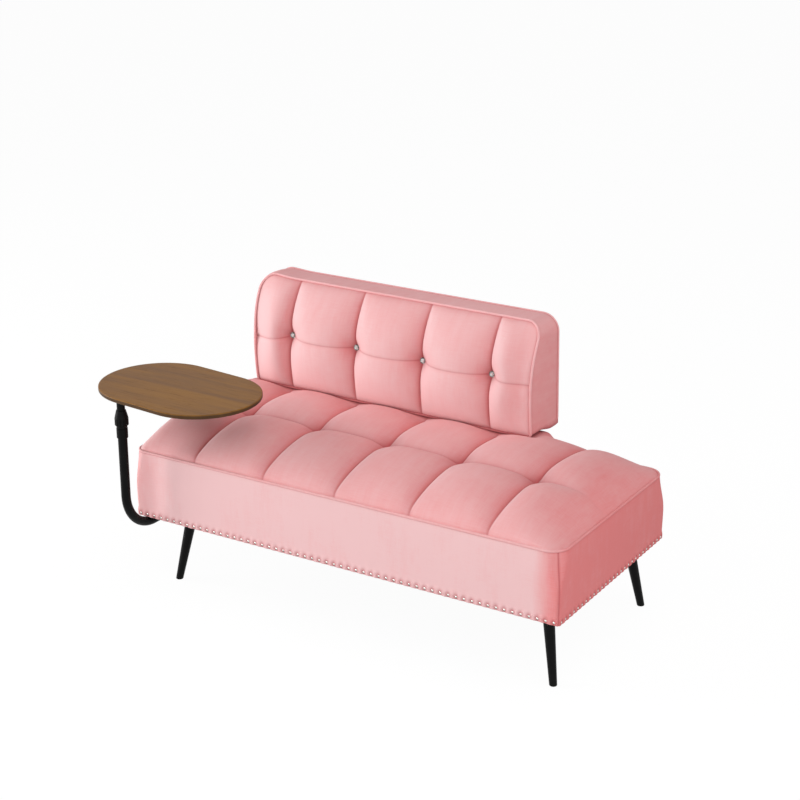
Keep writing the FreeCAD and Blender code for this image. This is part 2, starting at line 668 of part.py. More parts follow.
def make_back_frame():
    """Timber frame of the backrest and the board on its front."""
    core = back_outline(BACK_WADDING, BACK_FRAME_FRONT, BACK_FRAME_REAR)
    left = BACK_LEFT + BACK_WADDING
    right = BACK_RIGHT - BACK_WADDING
    bottom = BACK_UNDERSIDE + BACK_WADDING
    top = BACK_TOP - BACK_WADDING
    bay_left = left + BACK_FRAME_WIDTH
    bay_right = right - BACK_FRAME_WIDTH
    bay_bottom = bottom + BACK_FRAME_WIDTH
    bay_top = top - BACK_FRAME_WIDTH
    members = {
        "back_bottom_rail": ((left, bottom), (right, bay_bottom)),
        "back_top_rail": ((left, bay_top), (right, top)),
        "back_left_stile": ((left, bay_bottom), (bay_left, bay_top)),
        "back_right_stile": ((bay_right, bay_bottom), (right, bay_top)),
        "back_middle_rail": ((bay_left, BACK_MIDDLE_RAIL_BOTTOM), (bay_right, BACK_MIDDLE_RAIL_TOP)),
    }
    for name, (low, high) in members.items():
        bar = block((low[0], BACK_FRAME_FRONT, low[1]), (high[0], BACK_FRAME_REAR, high[1]))
        nodes[name] = bar.common(core)
    nodes["back_board"] = back_outline(BACK_WADDING, BACK_PAD_REAR, BACK_FRAME_FRONT)


def make_back_upholstery():
    """Tufted front pad, gusset, rear pad, two runs of piping and the buttons."""
    columns = [BACK_LEFT] + BACK_COLUMN_SEAMS + [BACK_RIGHT]
    rows = [BACK_UNDERSIDE, BACK_ROW_SEAM, BACK_TOP]
    face = tufted_face(
        stations(columns, TUFT_STATIONS, SURFACE_MARGIN),
        stations(rows, BACK_ROW_STATIONS, SURFACE_MARGIN),
        back_front_point,
    )
    nearest = BACK_FRONT - 2 * BACK_PUFF
    behind_face = face.extrude(Vector(0, SEAT_DEPTH, 0))
    front_pad = back_outline(0, nearest, BACK_PAD_REAR).common(behind_face)

    front_piping = back_ring(nearest, BACK_PAD_REAR).common(back_profile(-PIPING_RADIUS, PIPING_RADIUS))
    rear_limit = BACK_FRAME_REAR + BACK_REAR_PAD_BOTTOM + 2 * PIPING_RADIUS
    rear_slab = back_rear_slab(-PIPING_RADIUS, PIPING_RADIUS)
    rear_piping = back_ring(BACK_FRAME_REAR, rear_limit).common(rear_slab)

    rear_pad = back_outline(0, BACK_FRAME_REAR, rear_limit).common(back_rear_slab(-SEAT_DEPTH, 0))
    pocket_depth = BRACKET_REAR + SCREW_HEAD_HEIGHT + FREE_CLEARANCE
    for x in BRACKET_XS:
        reach = BRACKET_WIDTH / 2 + BRACKET_POCKET_GAP
        rear_pad = rear_pad.cut(block(
            (x - reach, BACK_FRAME_REAR, BACK_UNDERSIDE),
            (x + reach, pocket_depth, BACK_MIDDLE_RAIL_TOP + BRACKET_POCKET_GAP),
        ))
    gusset = back_outline(0, BACK_PAD_REAR, BACK_FRAME_REAR)
    nodes["back_gusset"] = gusset.cut(back_outline(BACK_WADDING, BACK_PAD_REAR, BACK_FRAME_REAR))
    nodes["back_piping_front"] = front_piping
    nodes["back_piping_rear"] = rear_piping
    nodes["back_rear_pad"] = rear_pad.cut(rear_piping)

    rims = []
    crystals = []
    front_of_button = back_front_edge(BACK_ROW_SEAM) + BUTTON_DEPTH
    for x in BACK_COLUMN_SEAMS:
        front = Vector(x, front_of_button, BACK_ROW_SEAM)
        base = front + BACKWARD * BUTTON_RIM_HEIGHT
        rim = rod(BUTTON_RIM_RADIUS, base, BUTTON_RIM_HEIGHT, -BACKWARD)
        rims.append(join([rim, rod(BUTTON_SHANK_RADIUS, base, BUTTON_SHANK_LENGTH, BACKWARD)]))
        crystals.append(crystal(front))
        front_pad = front_pad.cut(Part.makeCone(
            BUTTON_RIM_RADIUS + BUTTON_DIMPLE_MARGIN,
            BUTTON_DIMPLE_RADIUS,
            BUTTON_DIMPLE_REACH,
            front,
            -BACKWARD,
        ))
    nodes["button_rims"] = Part.makeCompound(rims)
    nodes["button_crystals"] = Part.makeCompound(crystals)
    nodes["back_front_pad"] = front_pad.cut(front_piping).cut(nodes["button_rims"])


def crystal(base):
    """Cut stone on a button: a many-sided girdle that narrows to a flat table, facing forward."""
    rings = []
    for radius, forward in ((CRYSTAL_RADIUS, 0.0), (CRYSTAL_TABLE_RADIUS, CRYSTAL_HEIGHT)):
        turns = [2 * math.pi * step / CRYSTAL_SIDES for step in range(CRYSTAL_SIDES)]
        points = [
            base + Vector(radius * math.cos(turn), -forward, radius * math.sin(turn)) for turn in turns
        ]
        rings.append(Part.makePolygon(points + points[:1]))
    return Part.makeLoft(rings, True, True)


def make_brackets():
    """Steel bars that carry the backrest on the rear rail, with their bolts, nuts, spacers and screws."""
    bolts = []
    nuts = []
    spacers = []
    screws = []
    foot = RAIL_TOP - BRACKET_FOOT_DROP
    for side, x in zip(SIDES, BRACKET_XS):
        bar = block(
            (x - BRACKET_WIDTH / 2, BRACKET_FRONT, foot),
            (x + BRACKET_WIDTH / 2, BRACKET_REAR, BACK_MIDDLE_RAIL_TOP),
        )
        for step in (0, 1):
            height = RAIL_TOP - BRACKET_BOLT_DROP - step * BRACKET_BOLT_PITCH
            head_base = Vector(x, BRACKET_REAR, height)
            length = BRACKET_REAR - INNER_HALF_DEPTH + INSERT_FLANGE_HEIGHT
            bolts.append(socket_bolt(head_base, -BACKWARD, length))
            hole = rod(BOLT_RADIUS + BOLT_CLEARANCE, head_base, length, -BACKWARD)
            nuts.append(flanged_nut(Vector(x, INNER_HALF_DEPTH, height), BACKWARD))
            spacer = rod(BRACKET_SPACER_RADIUS, Vector(x, HALF_DEPTH, height), BRACKET_SPACER, BACKWARD)
            spacers.append(spacer.cut(hole))
            bar = bar.cut(hole)
            nodes["rear_border"] = nodes["rear_border"].cut(hole)
            nodes["rear_rail"] = nodes["rear_rail"].cut(hole).cut(nuts[-1])
        for rail_middle in (
            BACK_UNDERSIDE + BACK_WADDING + BACK_FRAME_WIDTH / 2,
            BACK_MIDDLE_RAIL_TOP - BACK_FRAME_WIDTH / 2,
        ):
            head_base = Vector(x, BRACKET_REAR, rail_middle)
            screws.append(pan_screw(head_base, -BACKWARD, BRACKET_SCREW_LENGTH))
            bar = bar.cut(rod(SCREW_RADIUS + SCREW_CLEARANCE, head_base, BRACKET_THICKNESS, -BACKWARD))
        nodes["back_bracket_" + side] = bar
    nodes["bracket_bolts"] = Part.makeCompound(bolts)
    nodes["bracket_nuts"] = Part.makeCompound(nuts)
    nodes["bracket_spacers"] = Part.makeCompound(spacers)
    nodes["bracket_screws"] = Part.makeCompound(screws)
    for rail in ("back_bottom_rail", "back_middle_rail"):
        nodes[rail] = nodes[rail].cut(nodes["bracket_screws"])


# Side table


def arm_tail(radius):
    """Round bar along the straight run of the arm under the seat."""
    start = Vector(ARM_X, ARM_BEND_END, ARM_TAIL_HEIGHT)
    return rod(radius, start, ARM_TAIL_END - ARM_BEND_END, BACKWARD)


def bent_bar(radius):
    """Round bar along the arm: down the upright, round the bend and back under the seat."""
    upright = rod(radius, Vector(ARM_X, ARM_Y, ARM_BEND_TOP), ARM_TUBE_TOP - ARM_BEND_TOP, UP)
    section = Part.Face(Part.Wire(Part.makeCircle(radius, Vector(ARM_X, ARM_Y, ARM_BEND_TOP), UP)))
    bend = section.revolve(Vector(ARM_X, ARM_BEND_END, ARM_BEND_TOP), RIGHT, 90)
    return join([upright, bend, arm_tail(radius)])


def make_arm():
    """Bent tube under the left end rail, with its saddles, bolts, inserts and end plug."""
    tube = bent_bar(ARM_TUBE_RADIUS).cut(bent_bar(ARM_BORE_RADIUS))
    bolts = []
    saddles = []
    inserts = []
    head_height = ARM_TAIL_HEIGHT - ARM_TUBE_RADIUS
    tail_bar = arm_tail(ARM_TUBE_RADIUS)
    for y in ARM_BOLT_YS:
        head_base = Vector(ARM_X, y, head_height)
        bolts.append(socket_bolt(head_base, UP, ARM_BOLT_LENGTH))
        hole = rod(BOLT_RADIUS + BOLT_CLEARANCE, head_base, ARM_BOLT_LENGTH, UP)
        tube = tube.cut(hole)
        saddle = block(
            (ARM_X - SADDLE_WIDTH / 2, y - SADDLE_LENGTH / 2, LEG_HEIGHT - SADDLE_WRAP),
            (ARM_X + SADDLE_WIDTH / 2, y + SADDLE_LENGTH / 2, LEG_HEIGHT),
        )
        saddles.append(saddle.cut(tail_bar).cut(hole))
        inserts.append(threaded_insert(Vector(ARM_X, y, RAIL_BOTTOM), UP))
        nodes["dust_cover"] = nodes["dust_cover"].cut(hole)
        nodes["left_end_rail"] = nodes["left_end_rail"].cut(hole).cut(inserts[-1])
    nodes["arm_tube"] = tube
    nodes["arm_bolts"] = Part.makeCompound(bolts)
    nodes["arm_saddles"] = Part.makeCompound(saddles)
    nodes["arm_inserts"] = Part.makeCompound(inserts)
    tail_end = Vector(ARM_X, ARM_TAIL_END, ARM_TAIL_HEIGHT)
    nodes["arm_end_plug"] = join([
        rod(ARM_TUBE_RADIUS, tail_end, END_PLUG_FLANGE, BACKWARD),
        rod(ARM_BORE_RADIUS, tail_end, END_PLUG_LENGTH, -BACKWARD),
    ])


def make_clamp():
    """Sleeve with a collet on top of the tube, and the twist nut that closes it on the post."""
    bore = POST_RADIUS + FREE_CLEARANCE
    nodes["collet_sleeve"] = turned(
        [
            (ARM_TUBE_RADIUS, SLEEVE_BOTTOM),
            (SLEEVE_RADIUS, SLEEVE_BOTTOM),
            (SLEEVE_RADIUS, SLEEVE_TOP),
            (COLLET_RADIUS, SLEEVE_TOP),
            (COLLET_RADIUS, COLLET_TOP),
            (bore, COLLET_TOP),
            (bore, ARM_TUBE_TOP),
            (ARM_TUBE_RADIUS, ARM_TUBE_TOP),
        ],
        ARM_X,
        ARM_Y,
    )
    cavity = COLLET_RADIUS + FREE_CLEARANCE
    nut = turned(
        [
            (cavity, NUT_BOTTOM),
            (NUT_NECK_RADIUS, NUT_BOTTOM),
            (NUT_NECK_RADIUS, NUT_BOTTOM + NUT_NECK_HEIGHT),
            (NUT_WIDE_RADIUS, NUT_WIDE_BOTTOM),
            (NUT_WIDE_RADIUS, NUT_WIDE_TOP),
            (NUT_TOP_RADIUS, NUT_TOP),
            (bore, NUT_TOP),
            (bore, COLLET_TOP + NUT_CAVITY_GAP),
            (cavity, COLLET_TOP + NUT_CAVITY_GAP),
        ],
        ARM_X,
        ARM_Y,
    )
    for step in range(NUT_GRIP_RIBS):
        turn = 2 * math.pi * step / NUT_GRIP_RIBS
        groove = Vector(
            ARM_X + NUT_WIDE_RADIUS * math.cos(turn),
            ARM_Y + NUT_WIDE_RADIUS * math.sin(turn),
            NUT_WIDE_BOTTOM,
        )
        nut = nut.cut(rod(NUT_RIB_RADIUS, groove, NUT_GRIP_HEIGHT, UP))
    nodes["clamp_nut"] = nut


def make_post():
    """Sliding post of the table with its foot plug."""
    post = rod(POST_RADIUS, Vector(ARM_X, ARM_Y, POST_BOTTOM), POST_TOP - POST_BOTTOM, UP)
    bore = rod(POST_BORE_RADIUS, Vector(ARM_X, ARM_Y, POST_BOTTOM), POST_TOP - POST_BOTTOM, UP)
    nodes["table_post"] = post.cut(bore)
    foot = Vector(ARM_X, ARM_Y, POST_BOTTOM)
    nodes["post_foot_plug"] = join([
        rod(POST_RADIUS, foot, END_PLUG_FLANGE, -UP),
        rod(POST_BORE_RADIUS, foot, END_PLUG_LENGTH, UP),
    ])


def make_table():
    """Swivel flange with its stub, the flange screws and the table top."""
    axis = Vector(ARM_X, ARM_Y, 0)
    stub_radius = POST_BORE_RADIUS - RUNNING_CLEARANCE
    flange = join([
        rod(FLANGE_RADIUS, Vector(ARM_X, ARM_Y, FLANGE_UNDERSIDE), FLANGE_THICKNESS, UP),
        rod(stub_radius, Vector(ARM_X, ARM_Y, FLANGE_UNDERSIDE), FLANGE_STUB_LENGTH, -UP),
    ])
    corner = (ARM_X - TABLE_POST_FROM_END, ARM_Y - TABLE_POST_FROM_EDGE)
    wire = rounded_rectangle(
        corner,
        (corner[0] + TABLE_LENGTH, corner[1] + TABLE_WIDTH),
        [min(TABLE_LENGTH, TABLE_WIDTH) / 2] * 4,
        lambda x, y: Vector(x, y, TABLE_UNDERSIDE),
    )
    board = Part.Face(wire).extrude(Vector(0, 0, TABLE_THICKNESS))
    board.rotate(axis, UP, TABLE_TURN)
    rims = [edge for edge in board.Edges if edge.BoundBox.ZLength < TABLE_THICKNESS / 2]
    board = board.makeFillet(TABLE_EDGE_RADIUS, rims)
    screws = []
    for step in range(FLANGE_SCREW_COUNT):
        turn = 2 * math.pi * (step + 0.5) / FLANGE_SCREW_COUNT
        base = Vector(
            ARM_X + FLANGE_SCREW_CIRCLE * math.cos(turn),
            ARM_Y + FLANGE_SCREW_CIRCLE * math.sin(turn),
            FLANGE_UNDERSIDE,
        )
        screws.append(pan_screw(base, UP, FLANGE_THICKNESS + FLANGE_SCREW_BITE))
        flange = flange.cut(rod(SCREW_RADIUS + SCREW_CLEARANCE, base, FLANGE_THICKNESS, UP))
    group = Part.makeCompound(screws)
    nodes["swivel_flange"] = flange
    nodes["flange_screws"] = group
    nodes["table_top"] = board.cut(group)


def write_parts():
    """Move everything so that the origin is the middle of the whole part on the floor, and write it."""
    whole = FreeCAD.BoundBox()
    for shape in nodes.values():
        whole.add(shape.optimalBoundingBox(True, False))
    shift = Vector(-whole.Center.x, -whole.Center.y, -whole.ZMin)
    os.makedirs("parts", exist_ok=True)
    for name, shape in nodes.items():
        moved = shape.copy()
        moved.translate(shift)
        moved.exportStep("parts/" + name + ".step")
    print("nodes", len(nodes), "size", whole.XLength, whole.YLength, whole.ZLength)
    print("seat middle at", shift.x, shift.y, shift.z)


make_seat_frame()
make_seat_upholstery()
make_legs()
make_back_frame()
make_back_upholstery()
make_brackets()
make_arm()
make_clamp()
make_post()
make_table()
write_parts()
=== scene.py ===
"""Dressed model of a tufted two-seater sofa with a side table on a bent tube.

Metres. X runs along the seat to the right, Y to the back and Z up from the floor.
"""

import json
import logging
import math
from dataclasses import dataclass
from enum import Enum
from typing import Callable, Mapping, Sequence, Union

import bpy
import numpy as np
from mathutils import Euler, Matrix, Vector

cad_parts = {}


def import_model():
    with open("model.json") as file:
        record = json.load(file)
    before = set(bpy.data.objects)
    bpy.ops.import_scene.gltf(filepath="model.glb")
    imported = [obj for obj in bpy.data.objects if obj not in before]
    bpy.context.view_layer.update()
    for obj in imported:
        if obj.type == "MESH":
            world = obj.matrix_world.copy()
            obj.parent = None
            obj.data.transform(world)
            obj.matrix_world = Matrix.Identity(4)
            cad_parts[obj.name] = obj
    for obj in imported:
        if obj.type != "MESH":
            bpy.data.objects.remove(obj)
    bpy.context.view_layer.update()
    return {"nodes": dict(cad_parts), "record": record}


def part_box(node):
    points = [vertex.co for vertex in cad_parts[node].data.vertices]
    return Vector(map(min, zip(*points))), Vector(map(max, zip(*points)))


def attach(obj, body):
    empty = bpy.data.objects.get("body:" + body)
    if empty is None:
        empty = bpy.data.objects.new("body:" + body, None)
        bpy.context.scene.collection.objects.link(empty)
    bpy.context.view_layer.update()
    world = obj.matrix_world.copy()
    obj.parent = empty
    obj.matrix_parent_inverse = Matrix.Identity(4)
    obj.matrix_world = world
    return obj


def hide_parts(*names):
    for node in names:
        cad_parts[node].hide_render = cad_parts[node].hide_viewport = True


LOG = logging.getLogger("sofa")
MM = 0.001
TINY = 1e-6
NOTHING = 1e-9
FEWEST_STATIONS = 4
REAR_SIDE = 2
WHITE = (1.0, 1.0, 1.0, 1.0)
TABLE_TURN = math.radians(-5.7)
BODY = "sofa"
Colour = tuple[float, float, float]
Operand = Union["Signal", float, Sequence[float]]


# Shader expressions


class Signal:
    """One shader value, so that arithmetic on it in Python adds Math nodes."""

    def __init__(self, graph: "Graph", socket: bpy.types.NodeSocket) -> None:
        """Wrap an output socket of a graph."""
        self.graph = graph
        self.socket = socket

    def _math(self, operation: str, first: Operand, second: Operand) -> "Signal":
        """Add a Math node.

        Args:
            operation: The Math node's operation.
            first: Its first operand.
            second: Its second operand.

        Returns:
            The node's result.
        """
        return self.graph.node("ShaderNodeMath", {"operation": operation}, {0: first, 1: second})

    def __add__(self, other: Operand) -> "Signal":
        """Sum of two values."""
        return self._math("ADD", self, other)

    def __radd__(self, other: Operand) -> "Signal":
        """Sum with a number on the left."""
        return self._math("ADD", other, self)

    def __sub__(self, other: Operand) -> "Signal":
        """Difference of two values."""
        return self._math("SUBTRACT", self, other)

    def __rsub__(self, other: Operand) -> "Signal":
        """Difference with a number on the left."""
        return self._math("SUBTRACT", other, self)

    def __mul__(self, other: Operand) -> "Signal":
        """Product of two values."""
        return self._math("MULTIPLY", self, other)

    def largest(self, other: Operand) -> "Signal":
        """Larger of two values."""
        return self._math("MAXIMUM", self, other)

    def between(self, low: float, high: float) -> "Signal":
        """Share of the way from low to high, smooth and held at both ends.

        Args:
            low: Value that gives nought.
            high: Value that gives one.

        Returns:
            The share.
        """
        settings = {"interpolation_type": "SMOOTHSTEP"}
        return self.graph.node("ShaderNodeMapRange", settings, {0: self, 1: low, 2: high})


class Graph:
    """Node tree of one material, or of the world."""

    def __init__(self, name: str, owners: "bpy.types.bpy_prop_collection | None" = None) -> None:
        """Start an empty tree.

        Args:
            name: Name of the material or world.
            owners: The collection that it goes into; without one it is a material.
        """
        self.owner = (bpy.data.materials if owners is None else owners).new(name)
        self.owner.use_nodes = True
        self.tree = self.owner.node_tree
        self.tree.nodes.clear()

    def node(
        self,
        kind: str,
        settings: Mapping[str, object] | None = None,
        inputs: Mapping[str | int, Operand] | None = None,
        output: str | int = 0,
    ) -> Signal:
        """Add a node.

        Args:
            kind: The node's type.
            settings: Its properties, set first.
            inputs: Values or links of its sockets, by name or number.
            output: The socket that the result stands for.

        Returns:
            That output, or the first input of a node without outputs.
        """
        made = self.tree.nodes.new(kind)
        for key, value in (settings or {}).items():
            setattr(made, key, value)
        for key, value in (inputs or {}).items():
            if isinstance(value, Signal):
                self.tree.links.new(value.socket, made.inputs[key])
            else:
                made.inputs[key].default_value = value
        return Signal(self, made.outputs[output] if len(made.outputs) else made.inputs[0])

    def attribute(self, name: str) -> Signal:
        """Number that the mesh stores under a name."""
        return self.node("ShaderNodeAttribute", {"attribute_name": name}, output="Fac")

    def height_of(self, place: Signal) -> Signal:
        """Height of a place."""
        return self.node("ShaderNodeSeparateXYZ", None, {0: place}, output="Z")

    def coordinates(self, scale: Sequence[float] = (1, 1, 1), turn: float = 0.0,
                    centre: Sequence[float] = (0, 0, 0), source: str = "Object") -> Signal:
        """Coordinates, turned about an upright axis and stretched.

        Args:
            scale: Factors along the turned axes.
            turn: Angle about Z, in radians.
            centre: Point that becomes the origin.
            source: Which coordinates, Object or UV.

        Returns:
            The coordinates.
        """
        place = self.node("ShaderNodeTexCoord", output=source)
        moved = self.node("ShaderNodeVectorMath", {"operation": "SUBTRACT"}, {0: place, 1: centre})
        inputs = {"Vector": moved, "Rotation": (0, 0, turn), "Scale": scale}
        return self.node("ShaderNodeMapping", {"vector_type": "POINT"}, inputs)

    def noise(self, vector: Signal, scale: float, detail: float = 2.0, roughness: float = 0.5) -> Signal:
        """Noise about a half.

        Args:
            vector: Where it is read.
            scale: Lumps in a metre.
            detail: Octaves.
            roughness: Share of the finer octaves.

        Returns:
            The noise.
        """
        inputs = {"Vector": vector, "Scale": scale, "Detail": detail, "Roughness": roughness}
        return self.node("ShaderNodeTexNoise", None, inputs)

    def mix(self, share: Operand, first: Operand, second: Operand) -> Signal:
        """Mix two colours.

        Args:
            share: How much of the second.
            first: A colour.
            second: Another.

        Returns:
            The mixed colour.
        """
        ends = [(*value, 1.0) if isinstance(value, tuple) else value for value in (first, second)]
        return self.node("ShaderNodeMix", {"data_type": "RGBA"}, {0: share, 6: ends[0], 7: ends[1]}, output=2)

    def seen_directly(self) -> Signal:
        """One for camera, glossy and transmitted rays, and nought for the rest."""
        names = ("Is Camera Ray", "Is Glossy Ray", "Is Transmission Ray")
        camera, glossy, through = (self.node("ShaderNodeLightPath", output=name) for name in names)
        return camera.largest(glossy).largest(through)

    def bump(self, height: Signal, strength: float, distance: float) -> Signal:
        """Bumped normal.

        Args:
            height: Height from nought to one.
            strength: Share of the effect.
            distance: Height of one, in metres.

        Returns:
            The normal.
        """
        inputs = {"Strength": strength, "Distance": distance, "Height": height}
        return self.node("ShaderNodeBump", None, inputs)

    def shade(self, inputs: Mapping[str, Operand]) -> bpy.types.Material:
        """Finish the material with one surface shader.

        Args:
            inputs: Values or links of the shader's sockets.

        Returns:
            The material.
        """
        surface = self.node("ShaderNodeBsdfPrincipled", None, inputs)
        self.node("ShaderNodeOutputMaterial", None, {"Surface": surface})
        return self.owner


# Finishes


class Slot(Enum):
    """Material slots of the record."""

    VELVET = "velvet"
    DUST_FABRIC = "dust_fabric"
    FRAME_TIMBER = "frame_timber"
    PLYWOOD = "plywood"
    WALNUT = "walnut"
    BLACK_STEEL = "black_steel"
    BLACK_PLASTIC = "black_plastic"
    ZINC_STEEL = "zinc_steel"
    PEWTER = "pewter"
    SILVER_RIM = "silver_rim"
    CRYSTAL = "crystal"


@dataclass(frozen=True)
class Velvet:
    """Short-pile velvet with painted light and shade: a lit and a shaded copy of its colour, and deeper
    colour painted in the creases.
    """

    name: str = "velvet"
    # The first two colours are a lit and a shaded copy of the velvet, and the third is painted shade for the
    # creases.
    lit_colour: Colour = (0.88, 0.56, 0.565)
    pile: Colour = (0.82, 0.235, 0.235)
    crease_shade_colour: Colour = (0.46, 0.07, 0.075)
    crease_shade_share: float = 0.8
    sheen: Colour = (1.0, 0.86, 0.87)
    sheen_weight: float = 0.12
    sheen_roughness: float = 0.4
    specular: float = 0.2
    roughness: float = 0.82
    roughness_spread: float = 0.15
    cloud_scale: float = 7.0
    cloud_span: Sequence[float] = (0.36, 0.66)
    cloud_share: float = 0.10
    thread_scale: float = 430.0
    thread_stretch: float = 0.07
    thread_share: float = 0.42
    weft_share: float = 0.55
    stroke_scale: float = 55.0
    stroke_stretch: float = 0.16
    stroke_share: float = 0.28
    pile_scale: float = 1500.0
    pile_height: float = 0.35 * MM
    pile_share: float = 0.8

    def material(self) -> bpy.types.Material:
        """Material of the cover."""
        graph = Graph(self.name)
        place = graph.coordinates()
        clouds = graph.noise(place, self.cloud_scale, detail=4.0, roughness=0.6).between(*self.cloud_span)
        warp = graph.coordinates((1, self.thread_stretch, 1), source="UV")
        weft = graph.coordinates((self.thread_stretch, 1, 1), source="UV")
        thread = graph.noise(warp, self.thread_scale, detail=1.0) * (1 - self.weft_share)
        thread = thread + graph.noise(weft, self.thread_scale, detail=1.0) * self.weft_share
        strokes = graph.coordinates((1, self.stroke_stretch, 1), source="UV")
        stroke = graph.noise(strokes, self.stroke_scale, detail=3.0, roughness=0.55)
        # Painted shade from the mesh mixes the lit copy towards the shaded copy; random tone goes on top.
        shade = graph.attribute("painted_shade") + (clouds - 0.5) * self.cloud_share
        shade = shade + (stroke - 0.5) * self.stroke_share + (thread - 0.5) * self.thread_share
        # Painted shade in the creases, from the mesh.
        crease_darkening = graph.attribute("crease_shade") * self.crease_shade_share
        pile = graph.noise(place, self.pile_scale)
        relief = pile * self.pile_share + thread * (1 - self.pile_share)
        return graph.shade({
            "Base Color": graph.mix(crease_darkening, graph.mix(shade, self.lit_colour, self.pile), self.crease_shade_colour),
            "Roughness": self.roughness + pile * self.roughness_spread,
            "Specular IOR Level": self.specular,
            "Sheen Weight": self.sheen_weight,
            "Sheen Roughness": self.sheen_roughness,
            "Sheen Tint": (*self.sheen, 1.0),
            "Normal": graph.bump(relief, strength=0.5, distance=self.pile_height),
        })


@dataclass(frozen=True)
class Coat:
    """Painted or moulded surface with a fine orange peel and a little wear."""

    name: str
    colour: Colour
    roughness: float
    peel_scale: float
    peel_height: float
    wear_scale: float = 22.0
    wear_span: Sequence[float] = (0.45, 0.75)
    wear_roughness: float = 0.25
    worn_gain: float = 1.8
    worn_lift: float = 0.001
    specular: float = 0.1

    def material(self) -> bpy.types.Material:
        """Material of the coat."""
        graph = Graph(self.name)
        place = graph.coordinates()
        peel = graph.noise(place, self.peel_scale)
        wear = graph.noise(place, self.wear_scale, detail=5.0, roughness=0.65)
        worn = tuple(channel * self.worn_gain + self.worn_lift for channel in self.colour)
        return graph.shade({
            "Base Color": graph.mix(wear.between(*self.wear_span), self.colour, worn),
            "Roughness": self.roughness + (wear - 0.5) * self.wear_roughness,
            "Specular IOR Level": self.specular,
            "Normal": graph.bump(peel, strength=0.35, distance=self.peel_height),
        })


@dataclass(frozen=True)
class Plate:
    """Bare or plated metal with fine brush lines and a little tarnish.

    A row of heads at one height stays bright along its middle as a painted highlight, and is painted dark
    above and below it as painted shade.
    """

    name: str
    bright: Colour
    dull: Colour
    roughness: float
    line_scale: float = 900.0
    line_stretch: float = 0.08
    line_height: float = 0.05 * MM
    tarnish_scale: float = 160.0
    tarnish_span: Sequence[float] = (0.5, 0.78)
    roughness_spread: float = 0.12
    # A row of heads: the middle of its painted highlight, and where its painted shade begins and is full.
    heads_at: float | None = None
    highlight_above: float = 0.7 * MM
    polished: float = 1.3 * MM
    painted_shade_from: float = 3.2 * MM

    def material(self) -> bpy.types.Material:
        """Material of the metal."""
        graph = Graph(self.name)
        lines = graph.noise(graph.coordinates((1, 1, self.line_stretch)), self.line_scale)
        place = graph.coordinates()
        tarnish_and_shade = graph.noise(place, self.tarnish_scale, detail=4.0, roughness=0.6)
        tarnish_and_shade = tarnish_and_shade.between(*self.tarnish_span)
        # Painted shade above and below the middle of a row of heads, which leaves a bright band there as a
        # painted highlight.
        if self.heads_at is not None:
            above = graph.height_of(place) - (self.heads_at + self.highlight_above)
            away = above.largest(0.0 - above)
            tarnish_and_shade = tarnish_and_shade.largest(away.between(self.polished, self.painted_shade_from))
        spread = tarnish_and_shade * self.roughness_spread + (lines - 0.5) * self.roughness_spread
        return graph.shade({
            "Base Color": graph.mix(tarnish_and_shade, self.bright, self.dull),
            "Metallic": 1.0,
            "Roughness": self.roughness + spread,
            "Normal": graph.bump(lines, strength=0.12, distance=self.line_height),
        })


@dataclass(frozen=True)
class Wood:
    """Wood with grain along one direction, pores and a lacquer.

    A board whose upper side is at a known height has a dark edge below it.
    """

    name: str
    light: Colour
    dark: Colour
    vein: Colour
    vein_share: float = 0.55
    turn: float = 0.0
    centre: Sequence[float] = (0.0, 0.0, 0.0)
    stretch: float = 0.07
    band_scale: float = 26.0
    band_share: float = 0.7
    band_span: Sequence[float] = (0.34, 0.66)
    drift_scale: float = 9.1
    pore_scale: float = 420.0
    pore_span: Sequence[float] = (0.56, 0.72)
    pore_depth: float = 0.12 * MM
    roughness: float = 0.42
    specular: float = 0.08
    coat: float = 0.0
    coat_roughness: float = 0.25
    edge_top: float | None = None
    edge: Colour = (0.05, 0.03, 0.018)
    edge_share: float = 0.8
    edge_span: Sequence[float] = (3.2 * MM, 1.2 * MM)

    def material(self) -> bpy.types.Material:
        """Material of the board."""
        graph = Graph(self.name)
        along = graph.coordinates((self.stretch, 1, 1), self.turn, self.centre)
        drift = graph.noise(along, self.drift_scale, detail=3.0, roughness=0.55)
        bands = graph.noise(along, self.band_scale, detail=5.0, roughness=0.62)
        growth = (bands * self.band_share + drift * (1 - self.band_share)).between(*self.band_span)
        finer = graph.coordinates((self.stretch / 2, 1, 1), self.turn, self.centre)
        streak = graph.noise(finer, self.pore_scale, roughness=0.7).between(*self.pore_span)
        colour = graph.mix(streak * self.vein_share, graph.mix(growth, self.dark, self.light), self.vein)
        if self.edge_top is not None:
            height = graph.height_of(graph.coordinates())
            low, high = (self.edge_top - below for below in self.edge_span)
            on_edge = 1.0 - height.between(low, high)
            colour = graph.mix(on_edge * self.edge_share, colour, self.edge)
        return graph.shade({
            "Base Color": colour,
            "Roughness": self.roughness + (growth - 0.5) * 0.1 + streak * 0.12,
            "Specular IOR Level": self.specular,
            "Coat Weight": self.coat,
            "Coat Roughness": self.coat_roughness,
            "Normal": graph.bump(1.0 - streak, strength=0.2, distance=self.pore_depth),
        })


@dataclass(frozen=True)
class CutGlass:
    """Clear cut stone."""

    name: str = "crystal"
    tint: Colour = (0.94, 1.0, 0.98)
    clearness: float = 0.4
    index: float = 1.75
    haze_scale: float = 700.0

    def material(self) -> bpy.types.Material:
        """Material of the stone."""
        graph = Graph(self.name)
        haze = graph.noise(graph.coordinates(), self.haze_scale)
        return graph.shade({
            "Base Color": (*self.tint, 1.0),
            "Transmission Weight": self.clearness,
            "IOR": self.index,
            "Roughness": 0.02 + haze * 0.04,
        })


